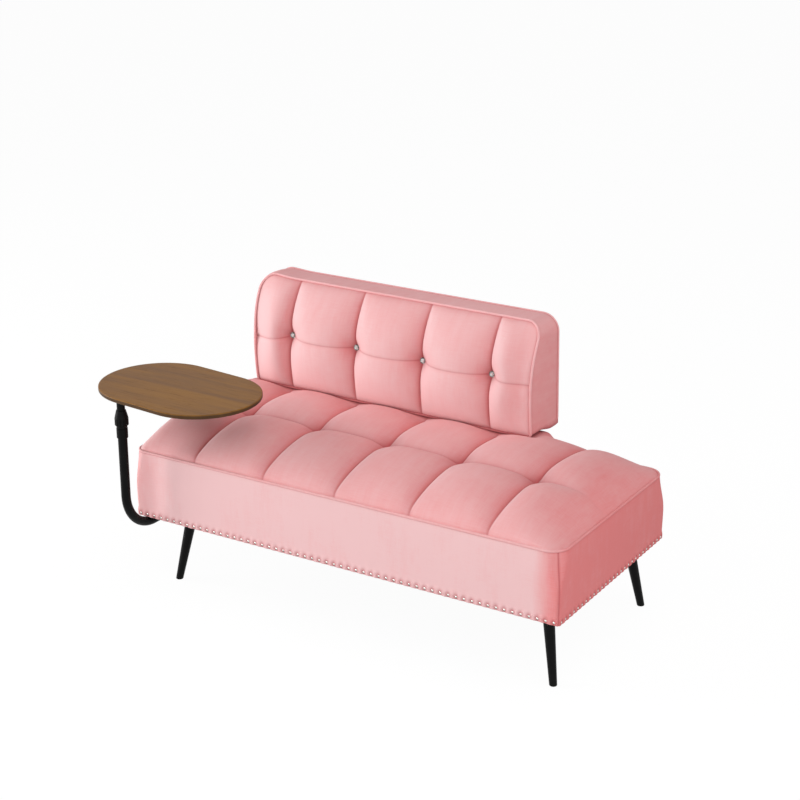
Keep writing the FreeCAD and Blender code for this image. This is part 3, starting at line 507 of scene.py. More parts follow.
@dataclass(frozen=True)
class DustCloth:
    """Black bonded cloth with a pressed dot pattern."""

    name: str = "dust_fabric"
    colour: Colour = (0.012, 0.012, 0.013)
    worn: Colour = (0.03, 0.03, 0.032)
    dot_scale: float = 420.0
    dot_depth: float = 0.2 * MM
    fibre_scale: float = 260.0
    fibre_span: Sequence[float] = (0.4, 0.7)

    def material(self) -> bpy.types.Material:
        """Material of the cloth."""
        graph = Graph(self.name)
        place = graph.coordinates()
        dots = graph.node("ShaderNodeTexVoronoi", None, {"Vector": place, "Scale": self.dot_scale})
        fibres = graph.noise(place, self.fibre_scale, detail=5.0, roughness=0.7)
        return graph.shade({
            "Base Color": graph.mix(fibres.between(*self.fibre_span), self.colour, self.worn),
            "Roughness": 0.88 + fibres * 0.1,
            "Normal": graph.bump(dots, strength=0.4, distance=self.dot_depth),
        })


# Modelling helpers


class Bench:
    """Operators used on one object at a time."""

    STEEPEST_SHADE_SLOPE = 0.5
    WELD_DISTANCE = 0.02 * MM
    CORD_SIDES = 14
    # Painted shade on the side of a cord that the seam hides.
    CORD_SHADE_SPAN = (-0.1, 0.75)
    CORD_SHADE = 0.8

    @staticmethod
    def only(piece: bpy.types.Object) -> None:
        """Select one piece and nothing else."""
        if bpy.context.mode != "OBJECT":
            bpy.ops.object.mode_set(mode="OBJECT")
        bpy.ops.object.select_all(action="DESELECT")
        piece.select_set(True)
        bpy.context.view_layer.objects.active = piece

    @staticmethod
    def grid(
        name: str, across: np.ndarray, along: np.ndarray
    ) -> tuple[bpy.types.Object, np.ndarray, np.ndarray]:
        """Add a grid whose lines stand at the given stations.

        Args:
            name: Name of the piece.
            across: Stations of its first direction.
            along: Stations of its second direction.

        Returns:
            The piece, and the two stations of each vertex.
        """
        bpy.ops.object.select_all(action="DESELECT")
        bpy.ops.mesh.primitive_grid_add(
            x_subdivisions=len(across) - 1, y_subdivisions=len(along) - 1, size=1
        )
        piece = bpy.context.object
        piece.name = name
        piece.data.name = name
        places = Bench.points(piece) + 0.5
        columns = np.rint(places[:, 0] * (len(across) - 1)).astype(int)
        rows = np.rint(places[:, 1] * (len(along) - 1)).astype(int)
        return piece, np.asarray(across)[columns], np.asarray(along)[rows]

    @staticmethod
    def points(piece: bpy.types.Object) -> np.ndarray:
        """Vertex places of a mesh, one row each."""
        flat = np.zeros(len(piece.data.vertices) * 3)
        piece.data.vertices.foreach_get("co", flat)
        return flat.reshape(-1, 3)

    @staticmethod
    def move(piece: bpy.types.Object, places: np.ndarray) -> None:
        """Set the vertex places of a mesh."""
        piece.data.vertices.foreach_set("co", np.ascontiguousarray(places).ravel())
        piece.data.update()

    @staticmethod
    def mark(piece: bpy.types.Object, name: str, values: np.ndarray) -> None:
        """Store one number for each vertex.

        Args:
            piece: The mesh.
            name: Name of the attribute.
            values: The numbers.
        """
        attribute = piece.data.attributes.new(name, "FLOAT", "POINT")
        attribute.data.foreach_set("value", np.asarray(values, dtype=np.float32))

    @staticmethod
    def paint_facing_shade(piece: bpy.types.Object, base_shade: float, turn: float, rise: float = 0.0) -> None:
        """Store painted shade for how light falls: deeper where the cover turns right and up, lighter to the
        left.

        Args:
            piece: The mesh in its final form.
            base_shade: Painted shade of a face that looks neither left, right nor up.
            turn: How much the painted shade changes from there to a face that looks right.
            rise: How much it changes from there to a face that looks up.
        """
        flat = np.zeros(len(piece.data.vertices) * 3)
        piece.data.vertices.foreach_get("normal", flat)
        slope = np.clip(flat[0::3], -Bench.STEEPEST_SHADE_SLOPE, Bench.STEEPEST_SHADE_SLOPE)
        painted_shade = base_shade + turn * slope * np.sqrt(np.abs(slope)) + rise * flat[2::3]
        Bench.mark(piece, "painted_shade", np.clip(painted_shade, 0, 1))

    @staticmethod
    def lay_flat(piece: bpy.types.Object, first: np.ndarray, second: np.ndarray) -> None:
        """Store where each vertex lies on the flat cloth, in metres, as the UV map.

        Args:
            piece: The mesh.
            first: Places along the weft.
            second: Places along the warp.
        """
        corners = np.zeros(len(piece.data.loops), dtype=np.int32)
        piece.data.loops.foreach_get("vertex_index", corners)
        flat = np.column_stack((first, second))[corners].astype(np.float32)
        piece.data.uv_layers.active.data.foreach_set("uv", flat.ravel())

    @staticmethod
    def weld(piece: bpy.types.Object) -> None:
        """Merge vertices that meet and turn all faces outwards."""
        Bench.only(piece)
        bpy.ops.object.mode_set(mode="EDIT")
        bpy.ops.mesh.select_all(action="SELECT")
        bpy.ops.mesh.remove_doubles(threshold=Bench.WELD_DISTANCE)
        bpy.ops.mesh.normals_make_consistent(inside=False)
        bpy.ops.object.mode_set(mode="OBJECT")

    @staticmethod
    def close(piece: bpy.types.Object, axis: int, plane: float) -> None:
        """Extrude the rim of a sheet to a plane and fill it there, so that it is a closed form.

        Args:
            piece: The sheet.
            axis: Axis along which the rim moves.
            plane: Where it ends.
        """
        Bench.only(piece)
        bpy.ops.object.mode_set(mode="EDIT")
        bpy.ops.mesh.select_mode(type="EDGE")
        bpy.ops.mesh.select_all(action="DESELECT")
        bpy.ops.mesh.select_non_manifold(
            extend=False, use_wire=False, use_boundary=True, use_multi_face=False,
            use_non_contiguous=False, use_verts=False,
        )
        bpy.ops.mesh.extrude_edges_move()
        bpy.ops.object.mode_set(mode="OBJECT")
        for vertex in piece.data.vertices:
            if vertex.select:
                vertex.co[axis] = plane
        bpy.ops.object.mode_set(mode="EDIT")
        bpy.ops.mesh.edge_face_add()
        bpy.ops.mesh.select_all(action="SELECT")
        bpy.ops.mesh.normals_make_consistent(inside=False)
        bpy.ops.object.mode_set(mode="OBJECT")

    @staticmethod
    def modify(piece: bpy.types.Object, kind: str, **settings: object) -> None:
        """Add a modifier, set it and apply it.

        Args:
            piece: The mesh.
            kind: The modifier's type.
            settings: Its properties.
        """
        Bench.only(piece)
        bpy.ops.object.modifier_add(type=kind)
        modifier = piece.modifiers[-1]
        for key, value in settings.items():
            setattr(modifier, key, value)
        bpy.ops.object.modifier_apply(modifier=modifier.name)

    @staticmethod
    def smooth(piece: bpy.types.Object, angle: float = 60.0) -> None:
        """Shade smooth, apart from edges sharper than an angle in degrees."""
        Bench.only(piece)
        bpy.ops.object.shade_smooth_by_angle(angle=math.radians(angle))

    @staticmethod
    def tube(name: str, path: np.ndarray, outward: np.ndarray, side: np.ndarray, radius: float,
             bare: float, fold_shade: np.ndarray, painted_shade: np.ndarray) -> bpy.types.Object:
        """Round cord along a closed path, with painted shade on its hidden side and in its folds.

        Args:
            name: Name of the piece.
            path: Points of the path, the first one again at the end.
            outward: Direction across the path at each point.
            side: The other direction across the path at each point.
            radius: Radius of the cord.
            bare: Angle round the section of the side that the seam leaves bare, in radians; the other side
                gets painted shade.
            fold_shade: Painted shade where the cord lies in a fold, at each point.
            painted_shade: Painted shade at each point, for how light falls on it.

        Returns:
            The cord.
        """
        turns = np.linspace(0.0, 2 * math.pi, Bench.CORD_SIDES + 1)
        piece, station, turn = Bench.grid(name, np.arange(len(path)), turns)
        station = station.astype(int)
        across = np.cos(turn)[:, None] * outward[station] + np.sin(turn)[:, None] * side[station]
        Bench.move(piece, path[station] + radius * across)
        run = np.concatenate(([0.0], np.cumsum(np.linalg.norm(np.diff(path, axis=0), axis=1))))
        Bench.lay_flat(piece, run[station], turn * radius)
        # Painted shade on the side away from the bare side, and where the cord lies in a fold.
        hidden_shade = ease(-np.cos(turn - bare), *Bench.CORD_SHADE_SPAN)
        Bench.mark(piece, "crease_shade", np.clip(fold_shade[station] + Bench.CORD_SHADE * hidden_shade, 0, 1))
        Bench.mark(piece, "painted_shade", painted_shade[station])
        Bench.weld(piece)
        Bench.smooth(piece)
        return piece


@dataclass(frozen=True)
class ClothPuff:
    """Cloth that swells under pressure between the lines where it is held."""

    pressure: float = 4.0
    frames: int = 20
    limit: float = 8 * MM
    mass: float = 0.3
    tension: float = 15.0
    bending: float = 0.5

    def swell(self, piece: bpy.types.Object, held: np.ndarray) -> None:
        """Run the cloth on a sheet and keep its result.

        Args:
            piece: The sheet.
            held: Which vertices stay where they are.
        """
        start = Bench.points(piece)
        Bench.only(piece)
        group = piece.vertex_groups.new(name="held")
        group.add([int(index) for index in np.flatnonzero(held)], 1.0, "REPLACE")
        bpy.ops.object.modifier_add(type="CLOTH")
        cloth = piece.modifiers[-1]
        cloth.settings.vertex_group_mass = group.name
        cloth.settings.mass = self.mass
        cloth.settings.tension_stiffness = self.tension
        cloth.settings.compression_stiffness = self.tension
        cloth.settings.bending_stiffness = self.bending
        cloth.settings.use_pressure = True
        cloth.settings.uniform_pressure_force = self.pressure
        cloth.settings.effector_weights.gravity = 0.0
        cloth.collision_settings.use_collision = False
        cloth.point_cache.frame_start = 1
        cloth.point_cache.frame_end = self.frames
        for frame_number in range(1, self.frames + 1):
            bpy.context.scene.frame_set(frame_number)
        shaped = piece.evaluated_get(bpy.context.evaluated_depsgraph_get())
        flat = np.zeros(len(start) * 3)
        shaped.data.vertices.foreach_get("co", flat)
        moved = flat.reshape(-1, 3) - start
        length = np.linalg.norm(moved, axis=1, keepdims=True)
        LOG.info("%s swells by up to %.1f mm", piece.name, float(length.max()) / MM)
        eased = self.limit * np.tanh(length / self.limit)
        bpy.ops.object.modifier_remove(modifier=cloth.name)
        piece.vertex_groups.clear()
        bpy.context.scene.frame_set(1)
        Bench.move(piece, start + moved * eased / np.maximum(length, NOTHING))


def crowded(lines: Sequence[float], cells: Sequence[int], crowding: float = 0.78) -> np.ndarray:
    """Stations that stand closer together towards the given lines.

    Args:
        lines: Places that get a station of their own, in order.
        cells: Cells between each two of them.
        crowding: How much closer they stand there, from nought to one.

    Returns:
        The stations.
    """
    stations = []
    for low, high, count in zip(lines, lines[1:], cells):
        share = np.linspace(0.0, 1.0, count + 1)[:-1]
        eased = (1 - crowding) * share + crowding * (0.5 - 0.5 * np.cos(math.pi * share))
        stations.append(low + (high - low) * eased)
    return np.concatenate(stations + [lines[-1:]])


@dataclass(frozen=True)
class Tuft:
    """Stuffed section between two lines.

    A larger width makes its middle flatter. A power under one makes it rise steeply from its lines, which
    leaves a crisp crease. A skew under one makes it rise sooner behind its first line than before its second.
    """

    width: float
    power: float
    skew: float = 1.0

    def fullness(self, position: np.ndarray, lines: Sequence[float]) -> np.ndarray:
        """Fullness between lines: nought on a line, one between them.

        Args:
            position: Places across the tufts.
            lines: The lines, in order.

        Returns:
            The fullness at each place.
        """
        full = np.zeros_like(position)
        for low, high in zip(lines, lines[1:]):
            inside = (position >= low) & (position <= high)
            share = np.abs(2 * ((position[inside] - low) / (high - low)) ** self.skew - 1)
            full[inside] = np.clip(1 - share ** self.width, 0, 1) ** self.power
        return full


@dataclass(frozen=True)
class Seam:
    """Painted shade of a seam: a fine dark line along it, and painted shade on the slope before it."""

    depth: float
    line: float
    slope: float
    line_share: float = 0.6
    slope_share: float = 0.35

    def crease_shade(self, way: np.ndarray) -> np.ndarray:
        """Painted shade at each way from the seam."""
        slope_shade = np.where(way < 0, np.exp(way / self.slope), 0.0)
        return self.depth * (self.line_share * np.exp(-np.abs(way) / self.line) + self.slope_share * slope_shade)


def from_nearest(position: np.ndarray, lines: Sequence[float]) -> np.ndarray:
    """Way from the nearest of the given lines to each place, less than nought before a line."""
    ways = position[:, None] - np.asarray(lines)[None, :]
    nearest = np.argmin(np.abs(ways), axis=1)
    return ways[np.arange(len(ways)), nearest]


def to_nearest(position: np.ndarray, lines: Sequence[float]) -> np.ndarray:
    """Distance from each place to the nearest of the given lines."""
    return np.abs(from_nearest(position, lines))


def on_lines(position: np.ndarray, lines: Sequence[float]) -> np.ndarray:
    """Which places lie on one of the given lines."""
    return to_nearest(position, lines) < TINY


def facing(part: np.ndarray) -> np.ndarray:
    """How much a face looks one way, from that part of its outward direction."""
    return np.clip(part, 0, 1) ** 2


def ease(value: np.ndarray, low: float, high: float) -> np.ndarray:
    """Smooth share of the way from low to high."""
    share = np.clip((value - low) / (high - low), 0, 1)
    return share * share * (3 - 2 * share)


def hill(distance: np.ndarray, width: float) -> np.ndarray:
    """Bell curve of a distance."""
    return np.exp(-0.5 * (distance / width) ** 2)


def round_corners(first: np.ndarray, second: np.ndarray, half_first: float, half_second: float,
                  radii: Sequence[float]) -> tuple[np.ndarray, np.ndarray]:
    """Pull the corners of a rectangular patch onto arcs.

    Args:
        first: First coordinate from the middle.
        second: Second coordinate from the middle.
        half_first: Half of the patch along the first.
        half_second: Half of the patch along the second.
        radii: Radii of the corners, anticlockwise from the low one.

    Returns:
        The two coordinates again.
    """
    low = np.where(first < 0, radii[0], radii[1])
    high = np.where(first < 0, radii[3], radii[2])
    radius = np.where(second < 0, low, high)
    a = np.clip((np.abs(first) - (half_first - radius)) / radius, 0, 1)
    b = np.clip((np.abs(second) - (half_second - radius)) / radius, 0, 1)
    pulled_a = a * np.sqrt(1 - b * b / 2)
    pulled_b = b * np.sqrt(1 - a * a / 2)
    return (
        first + np.sign(first) * (pulled_a - a) * radius,
        second + np.sign(second) * (pulled_b - b) * radius,
    )


@dataclass(frozen=True)
class Outline:
    """Rectangle with rounded corners, walked anticlockwise from its low corner."""

    half_first: float
    half_second: float
    zone: float

    @property
    def sides(self) -> list[float]:
        """Lengths of the four sides with sharp corners."""
        return [2 * self.half_first, 2 * self.half_second] * 2

    @property
    def corners(self) -> list[float]:
        """Distances of the corners round the outline, the first one again at the end."""
        return [0.0, *np.cumsum(self.sides)]

    def stations(self, spacing: float) -> np.ndarray:
        """Distances round the sharp rectangle, with one at every corner.

        Args:
            spacing: Rough distance between stations.

        Returns:
            The distances, the whole way round.
        """
        runs = []
        for start, side in zip(self.corners, self.sides):
            count = max(FEWEST_STATIONS, round(side / spacing))
            runs.append(start + side * np.arange(count) / count)
        return np.concatenate(runs + [self.corners[-1:]])

    def walk(
        self, distance: np.ndarray, radii: Sequence[Union[float, np.ndarray]]
    ) -> tuple[np.ndarray, np.ndarray]:
        """Points of the rounded rectangle.

        Args:
            distance: Distance round the sharp rectangle of each point.
            radii: Radius of the corner at the start of each side.

        Returns:
            The points from the middle, and the outward directions.
        """
        headings = np.array([(1, 0), (0, 1), (-1, 0), (0, -1)], dtype=float)
        corners = np.array([(-1, -1), (1, -1), (1, 1), (-1, 1)]) * (self.half_first, self.half_second)
        distance = np.mod(distance, sum(self.sides))
        places = np.zeros((len(distance), 2))
        outward = np.zeros((len(distance), 2))
        for index, (start, side) in enumerate(zip(self.corners, self.sides)):
            local = distance - start
            on = (local >= -NOTHING) & (local < side - NOTHING)
            ahead = headings[index]
            places[on] = corners[index] + ahead * local[on, None]
            outward[on] = (ahead[1], -ahead[0])
            for turn, offset in ((index, 0.0), ((index + 1) % 4, side)):
                near = on & (np.abs(local - offset) < self.zone)
                radius = np.broadcast_to(radii[turn], distance.shape)[near]
                share = 0.5 + 0.5 * (local[near] - offset) / self.zone
                into = headings[turn - 1]
                out = headings[turn]
                straight = self.zone - radius
                walked = share * (2 * straight + math.pi * radius / 2)
                angle = np.clip((walked - straight) / radius, 0, math.pi / 2)
                before = np.minimum(walked - straight, 0)
                after = np.maximum(walked - straight - math.pi * radius / 2, 0)
                normal = -out * np.cos(angle)[:, None] + into * np.sin(angle)[:, None]
                centre = corners[turn] + (out - into) * radius[:, None]
                places[near] = (
                    centre + normal * radius[:, None] + into * before[:, None] + out * after[:, None]
                )
                outward[near] = normal
        return places, outward


# Seat


@dataclass(frozen=True)
class SeatPlan:
    """Where the seat box is."""

    left: float
    right: float
    front: float
    rear: float
    bottom: float
    seam: float

    @classmethod
    def from_frame(cls) -> "SeatPlan":
        """Read the seat box from the borders of the frame."""
        front_low, front_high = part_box("front_border")
        return cls(
            left=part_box("left_border")[0].x,
            right=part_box("right_border")[1].x,
            front=front_low.y,
            rear=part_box("rear_border")[1].y,
            bottom=front_low.z,
            seam=front_high.z,
        )

    @property
    def middle(self) -> np.ndarray:
        """Middle of the seat in plan."""
        return np.array([(self.left + self.right) / 2, (self.front + self.rear) / 2])

    @property
    def half_length(self) -> float:
        """Half of the seat's length."""
        return (self.right - self.left) / 2

    @property
    def half_depth(self) -> float:
        """Half of the seat's depth."""
        return (self.rear - self.front) / 2


@dataclass(frozen=True)
class BackPlan:
    """Where the backrest is, and how its front edge bends."""

    left: float
    right: float
    bottom: float
    top: float
    pad_rear: float
    frame_rear: float
    pad_depth: float = 118 * MM
    belly_height: float = 124 * MM
    lower_radius: float = 700 * MM
    upper_radius: float = 281 * MM
    rear_at_bottom: float = 16 * MM
    rear_at_top: float = 5 * MM
    rear_drop: float = 2.5 * MM
    belly_under: float = 13 * MM
    under_span: Sequence[float] = (0.35, 0.85)
    shoulder_reach: float = 110 * MM
    shoulder_span: Sequence[float] = (-0.1, 0.75)
    shoulder_push: Sequence[float] = (-7.5 * MM, 5 * MM)
    top_corners: Sequence[float] = (46 * MM, 44 * MM)
    bottom_corner: float = 14 * MM
    column_pitch: float = 215 * MM
    row_height: float = 158 * MM

    @classmethod
    def from_frame(cls) -> "BackPlan":
        """Read the backrest from its gusset in the frame."""
        low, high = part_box("back_gusset")
        return cls(left=low.x, right=high.x, bottom=low.z, top=high.z, pad_rear=low.y, frame_rear=high.y)

    @property
    def middle(self) -> np.ndarray:
        """Middle of the outline, as X and Z."""
        return np.array([(self.left + self.right) / 2, (self.bottom + self.top) / 2])

    @property
    def half_width(self) -> float:
        """Half of the width."""
        return (self.right - self.left) / 2

    @property
    def half_height(self) -> float:
        """Half of the height."""
        return (self.top - self.bottom) / 2

    @property
    def foot(self) -> float:
        """Depth of the front at its lower edge."""
        return float(self.front_edge(np.array([self.bottom]))[0])

    @property
    def columns(self) -> list[float]:
        """Places of the column seams from the middle."""
        return [self.column_pitch * step for step in (-1.5, -0.5, 0.5, 1.5)]

    @property
    def radii(self) -> list[float]:
        """Corner radii in the order of the outline."""
        return [self.bottom_corner, self.bottom_corner, *self.top_corners]

    def front_edge(self, height: np.ndarray) -> np.ndarray:
        """Depth of the front edge at a height."""
        rise = height - (self.bottom + self.belly_height)
        radius = np.where(rise > 0, self.upper_radius, self.lower_radius)
        return self.pad_rear - self.pad_depth + radius - np.sqrt(radius ** 2 - rise ** 2)

    def rear_edge(self, height: np.ndarray) -> np.ndarray:
        """Depth of the slanted rear at a height."""
        share = (height - self.bottom) / (self.top - self.bottom)
        return self.frame_rear + self.rear_at_bottom + (self.rear_at_top - self.rear_at_bottom) * share

    def shoulder(self, flat: np.ndarray) -> np.ndarray:
        """Push the upper left corner out, where the padding is fuller.

        Args:
            flat: Points from the middle of the outline, as X and Z.

        Returns:
            The points again.
        """
        left = ease(-flat[:, 0], self.half_width - self.shoulder_reach, self.half_width)
        upper = ease(flat[:, 1] / self.half_height, *self.shoulder_span)
        return flat + (left * upper)[:, None] * np.asarray(self.shoulder_push)

    def underside(self, share: np.ndarray) -> np.ndarray:
        """How far the underside hangs down at a share of the way to the rear."""
        return self.belly_under * ease(share, *self.under_span)

    def stands_over(self, places: np.ndarray, before: Sequence[float], beside: Sequence[float]) -> np.ndarray:
        """How far the backrest stands over places, from nought to one.

        Args:
            places: Points in the part's frame.
            before: Distances before its foot where that starts and where it is whole.
            beside: Distances beside its ends where that starts and where it is whole.

        Returns:
            The shares.
        """
        share = ease(places[:, 1], self.foot - before[0], self.foot - before[1])
        share = share * ease(places[:, 0], self.left - beside[0], self.left - beside[1])
        return share * ease(-places[:, 0], -self.right - beside[0], -self.right - beside[1])


def join_sofa(piece: bpy.types.Object, finish: bpy.types.Material, nodes: Sequence[str]) -> None:
    """Give a piece its finish and put it on the sofa in the place of nodes of the frame.

    Args:
        piece: The piece.
        finish: Its material.
        nodes: The frame's nodes that it stands for.
    """
    piece.data.materials.append(finish)
    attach(piece, BODY)
    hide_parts(*nodes)
    LOG.info("made %s", piece.name)


def upholster(piece: bpy.types.Object, velvet: bpy.types.Material, nodes: Sequence[str]) -> None:
    """Cover a padded piece in velvet and put it on the sofa.

    Args:
        piece: The piece.
        velvet: Its cover.
        nodes: The frame's nodes that it stands for.
    """
    join_sofa(piece, velvet, nodes)


@dataclass
class Seat:
    """Tufted seat: its top, border, piping and dust cover."""

    plan: SeatPlan
    back: BackPlan
    velvet: bpy.types.Material
    dust: bpy.types.Material
    cloth: ClothPuff = ClothPuff()
    corner_radii: Sequence[float] = (32 * MM, 48 * MM, 48 * MM, 44 * MM)
    corner_zone: float = 60 * MM

    # Form of the top
    column_pitch: float = 224 * MM
    column_steps: Sequence[int] = (-2, -1, 0, 1, 2)
    column_cells: int = 26
    row_seam: float = -46 * MM
    row_cells: Sequence[int] = (30, 36)
    row_runs_out: Sequence[float] = (50 * MM, 30 * MM)
    edge_inset: float = 3.5 * MM
    skirt: float = 20 * MM
    crown: float = 66 * MM
    roundness: float = 0.5
    left_fall: float = 65 * MM
    left_roundness: float = 0.65
    right_fall: float = 170 * MM
    right_crown: float = 0.85
    right_settling: Sequence[float] = (40 * MM, 330 * MM)
    puff: float = 27 * MM
    tuft_across: Tuft = Tuft(width=2.0, power=0.74, skew=0.78)
    tuft_along: Tuft = Tuft(width=2.6, power=0.72)
    groove: float = 5 * MM
    groove_width: float = 2.5 * MM
    dimple: float = 14 * MM
    dimple_across: float = 24 * MM
    dimple_along: float = 30 * MM

    # Fit of the top to the backrest
    under_back: float = 2 * MM
    pressed_before: Sequence[float] = (20 * MM, 4 * MM)
    pressed_beside: Sequence[float] = (16 * MM, 4 * MM)
    not_pressed: float = 60 * MM
    filled_before: Sequence[float] = (45 * MM, 5 * MM)
    filled_beside: Sequence[float] = (45 * MM, 0.0)
    filled_behind: Sequence[float] = (4 * MM, 30 * MM)
    filled_gap: float = 4 * MM
    not_filled: float = 80 * MM
    lip: float = 12 * MM
    lip_before: float = 15 * MM
    lip_width: float = 9 * MM
    softness: float = 2.5 * MM

    # Painted shade of the top
    column_seam_shade: Seam = Seam(depth=1.15, line=2 * MM, slope=26 * MM)
    row_seam_shade: Seam = Seam(depth=0.7, line=3 * MM, slope=20 * MM)
    crossing_shade: float = 0.45
    crossing_across: float = 20 * MM
    crossing_along: float = 26 * MM
    # Painted shade where the top runs in under the backrest
    shaded_before: Sequence[float] = (12 * MM, 2 * MM)
    shaded_beside: Sequence[float] = (8 * MM, 0.0)
    # Painted shade of the top by facing, for how light falls on it
    painted_shade_top: float = 0.42
    painted_shade_turn: float = 0.95

    # Border
    border_step: float = 2.85 * MM
    rows_at_nails: tuple[float, float, int] = (1.2 * MM, 9.8 * MM, 7)
    rows_above_nails: tuple[float, float, int] = (11.4 * MM, 32 * MM, 7)
    rows_of_face: tuple[float, float, int] = (40 * MM, 12 * MM, 20)
    rows_at_seam: tuple[float, float, int] = (8 * MM, 2.5 * MM, 3)
    border_fullness: float = 2.5 * MM
    border_roundness: float = 0.7
    wall: float = 8 * MM
    hem: float = 3.5 * MM
    hem_roll: Sequence[float] = (-0.9 * MM, 0.2 * MM)
    seam_roll: float = 2.2 * MM
    seam_draw: float = 2 * MM
    seam_draw_height: float = 9 * MM
    # Painted shade just under the piping
    seam_shade: float = 0.95
    seam_shade_span: Sequence[float] = (6 * MM, 1 * MM)
    low_corner: float = 8 * MM
    flare_from: float = 0.42
    corner_draw: float = 1.5 * MM
    corner_draw_width: float = 1.8 * MM
    # Painted shade along the corner seams
    corner_shade: float = 0.85
    corner_shade_width: float = 2.2 * MM
    hollow: float = 2.2 * MM
    hollow_from_corner: float = 66 * MM
    hollow_width: float = 16 * MM
    # Painted shade by facing, and near the front corners
    painted_shade_right: float = 1.0
    painted_shade_left: float = 0.2
    painted_shade_rear: float = 0.4
    painted_shade_corner: float = 0.85
    painted_shade_corner_span: Sequence[float] = (85 * MM, 6 * MM)
    painted_shade_hollow: float = 0.3
    painted_shade_hollow_span: Sequence[float] = (150 * MM, 15 * MM)

    # Nails
    nail_height: float = 7 * MM
    nail_pitch: float = 22.75 * MM
    nail_from_corner: float = 12.5 * MM
    nail_puff: float = 3 * MM
    nail_puff_span: Sequence[float] = (26 * MM, 9 * MM)
    nail_dent: Sequence[float] = (4.6 * MM, 8 * MM)
    # Painted shade round each nail
    nail_shade: Sequence[float] = (5 * MM, 6.5 * MM)

    # Piping and dust cover
    piping_radius: float = 3.5 * MM
    piping_inset: float = 1.5 * MM
    piping_step: float = 8 * MM
    piping_bare: float = math.radians(40)
    # Painted shade of the cord, deeper where it faces right
    painted_shade_cord: float = 0.35
    painted_shade_cord_right: float = 0.8
    dust_lines: Sequence[int] = (66, 32)
    dust_gap: float = 0.2 * MM
    dust_sag: float = 1.6 * MM
    dust_hang: Tuft = Tuft(width=2.0, power=1.0)
    dust_thickness: float = 0.5 * MM

    def build(self) -> None:
        """Make and dress every piece of the seat."""
        self.make_top()
        self.make_border()
        self.make_piping()
        self.make_dust_cover()

    @property
    def column_lines(self) -> list[float]:
        """Seams and ends across the seat, from its middle."""
        seams = [self.column_pitch * step for step in self.column_steps]
        reach = self.plan.half_length - self.edge_inset
        return [-reach] + seams + [reach]

    @property
    def row_lines(self) -> list[float]:
        """Seams and ends along the seat's depth, from its middle."""
        reach = self.plan.half_depth - self.edge_inset
        return [-reach, self.row_seam, reach]

    @property
    def full(self) -> float:
        """Height of the border."""
        return self.plan.seam - self.plan.bottom

    def outline(self, inset: float = 0.0) -> Outline:
        """Outline of the seat in plan, drawn in by an inset."""
        return Outline(self.plan.half_length - inset, self.plan.half_depth - inset, self.corner_zone)

    def top_height(self, x: np.ndarray, y: np.ndarray) -> np.ndarray:
        """Height of the tufted top.

        Args:
            x: Places along the seat, from its middle.
            y: Places along its depth, from its middle.

        Returns:
            The heights.
        """
        columns = self.column_lines
        rows = self.row_lines
        across = np.clip(1 - (y / rows[-1]) ** 2, 0, 1) ** self.roundness
        from_left = np.clip((x - columns[0]) / self.left_fall, 0, 1)
        from_right = np.clip((columns[-1] - x) / self.right_fall, 0, 1)
        settled = self.right_crown + (1 - self.right_crown) * ease(columns[-1] - x, *self.right_settling)
        ends = (1 - (1 - from_left) ** 2) ** self.left_roundness * (1 - (1 - from_right) ** 2)
        dome = across * ends * settled
        rounded = np.sqrt(dome)
        tuft = self.tuft_along.fullness(y, rows)
        tuft += (self.tuft_along.fullness(y, [rows[0], rows[-1]]) - tuft) * self.row_end(x)
        tuft *= self.tuft_across.fullness(x, columns)
        height = self.plan.seam + self.crown * dome + self.puff * tuft * rounded
        height -= self.groove * np.exp(-to_nearest(x, columns[1:-1]) / self.groove_width) * rounded
        for seam in columns[1:-1]:
            pinch = hill(x - seam, self.dimple_across) * hill(y - self.row_seam, self.dimple_along)
            height -= self.dimple * pinch * rounded
        return height

    def row_end(self, x: np.ndarray) -> np.ndarray:
        """How far the row seam has run out towards the right end, from nought to one."""
        after_seam, before_end = self.row_runs_out
        return ease(x, self.column_lines[-2] + after_seam, self.column_lines[-1] - before_end)

    def press_under_back(self, places: np.ndarray) -> np.ndarray:
        """Fit the top to the backrest that stands on it.

        Args:
            places: Points of the top in the part's frame.

        Returns:
            The points, lowered under the backrest and filled up to it in the seams.
        """
        foot = self.back.foot
        inside = self.back.stands_over(places, self.pressed_before, self.pressed_beside)
        filled = self.back.stands_over(places, self.filled_before, self.filled_beside)
        filled *= ease(self.plan.rear - places[:, 1], *self.filled_behind)
        behind = (places[:, 1] - foot) / (self.back.frame_rear + self.back.rear_at_bottom - foot)
        level = self.back.bottom - self.under_back - self.back.underside(behind)
        lip = self.lip * hill(places[:, 1] - foot + self.lip_before, self.lip_width)
        pressed = places.copy()
        under = level - self.filled_gap + lip - (1 - filled) * self.not_filled - pressed[:, 2]
        pressed[:, 2] += self.softness * np.logaddexp(0, under / self.softness)
        over = pressed[:, 2] - level - (1 - inside) * self.not_pressed
        pressed[:, 2] -= self.softness * np.logaddexp(0, over / self.softness)
        return pressed

    def top_crease_shade(self, x: np.ndarray, y: np.ndarray) -> np.ndarray:
        """Painted shade along the seams of the top and at their crossings.

        Args:
            x: Places along the seat, from its middle.
            y: Places along its depth, from its middle.

        Returns:
            The painted shade.
        """
        from_column = from_nearest(x, self.column_lines[1:-1])
        crossing = hill(from_column, self.crossing_across) * hill(y - self.row_seam, self.crossing_along)
        crease_shade = self.column_seam_shade.crease_shade(from_column) + self.crossing_shade * crossing
        return crease_shade + self.row_seam_shade.crease_shade(self.row_seam - y) * (1 - self.row_end(x))

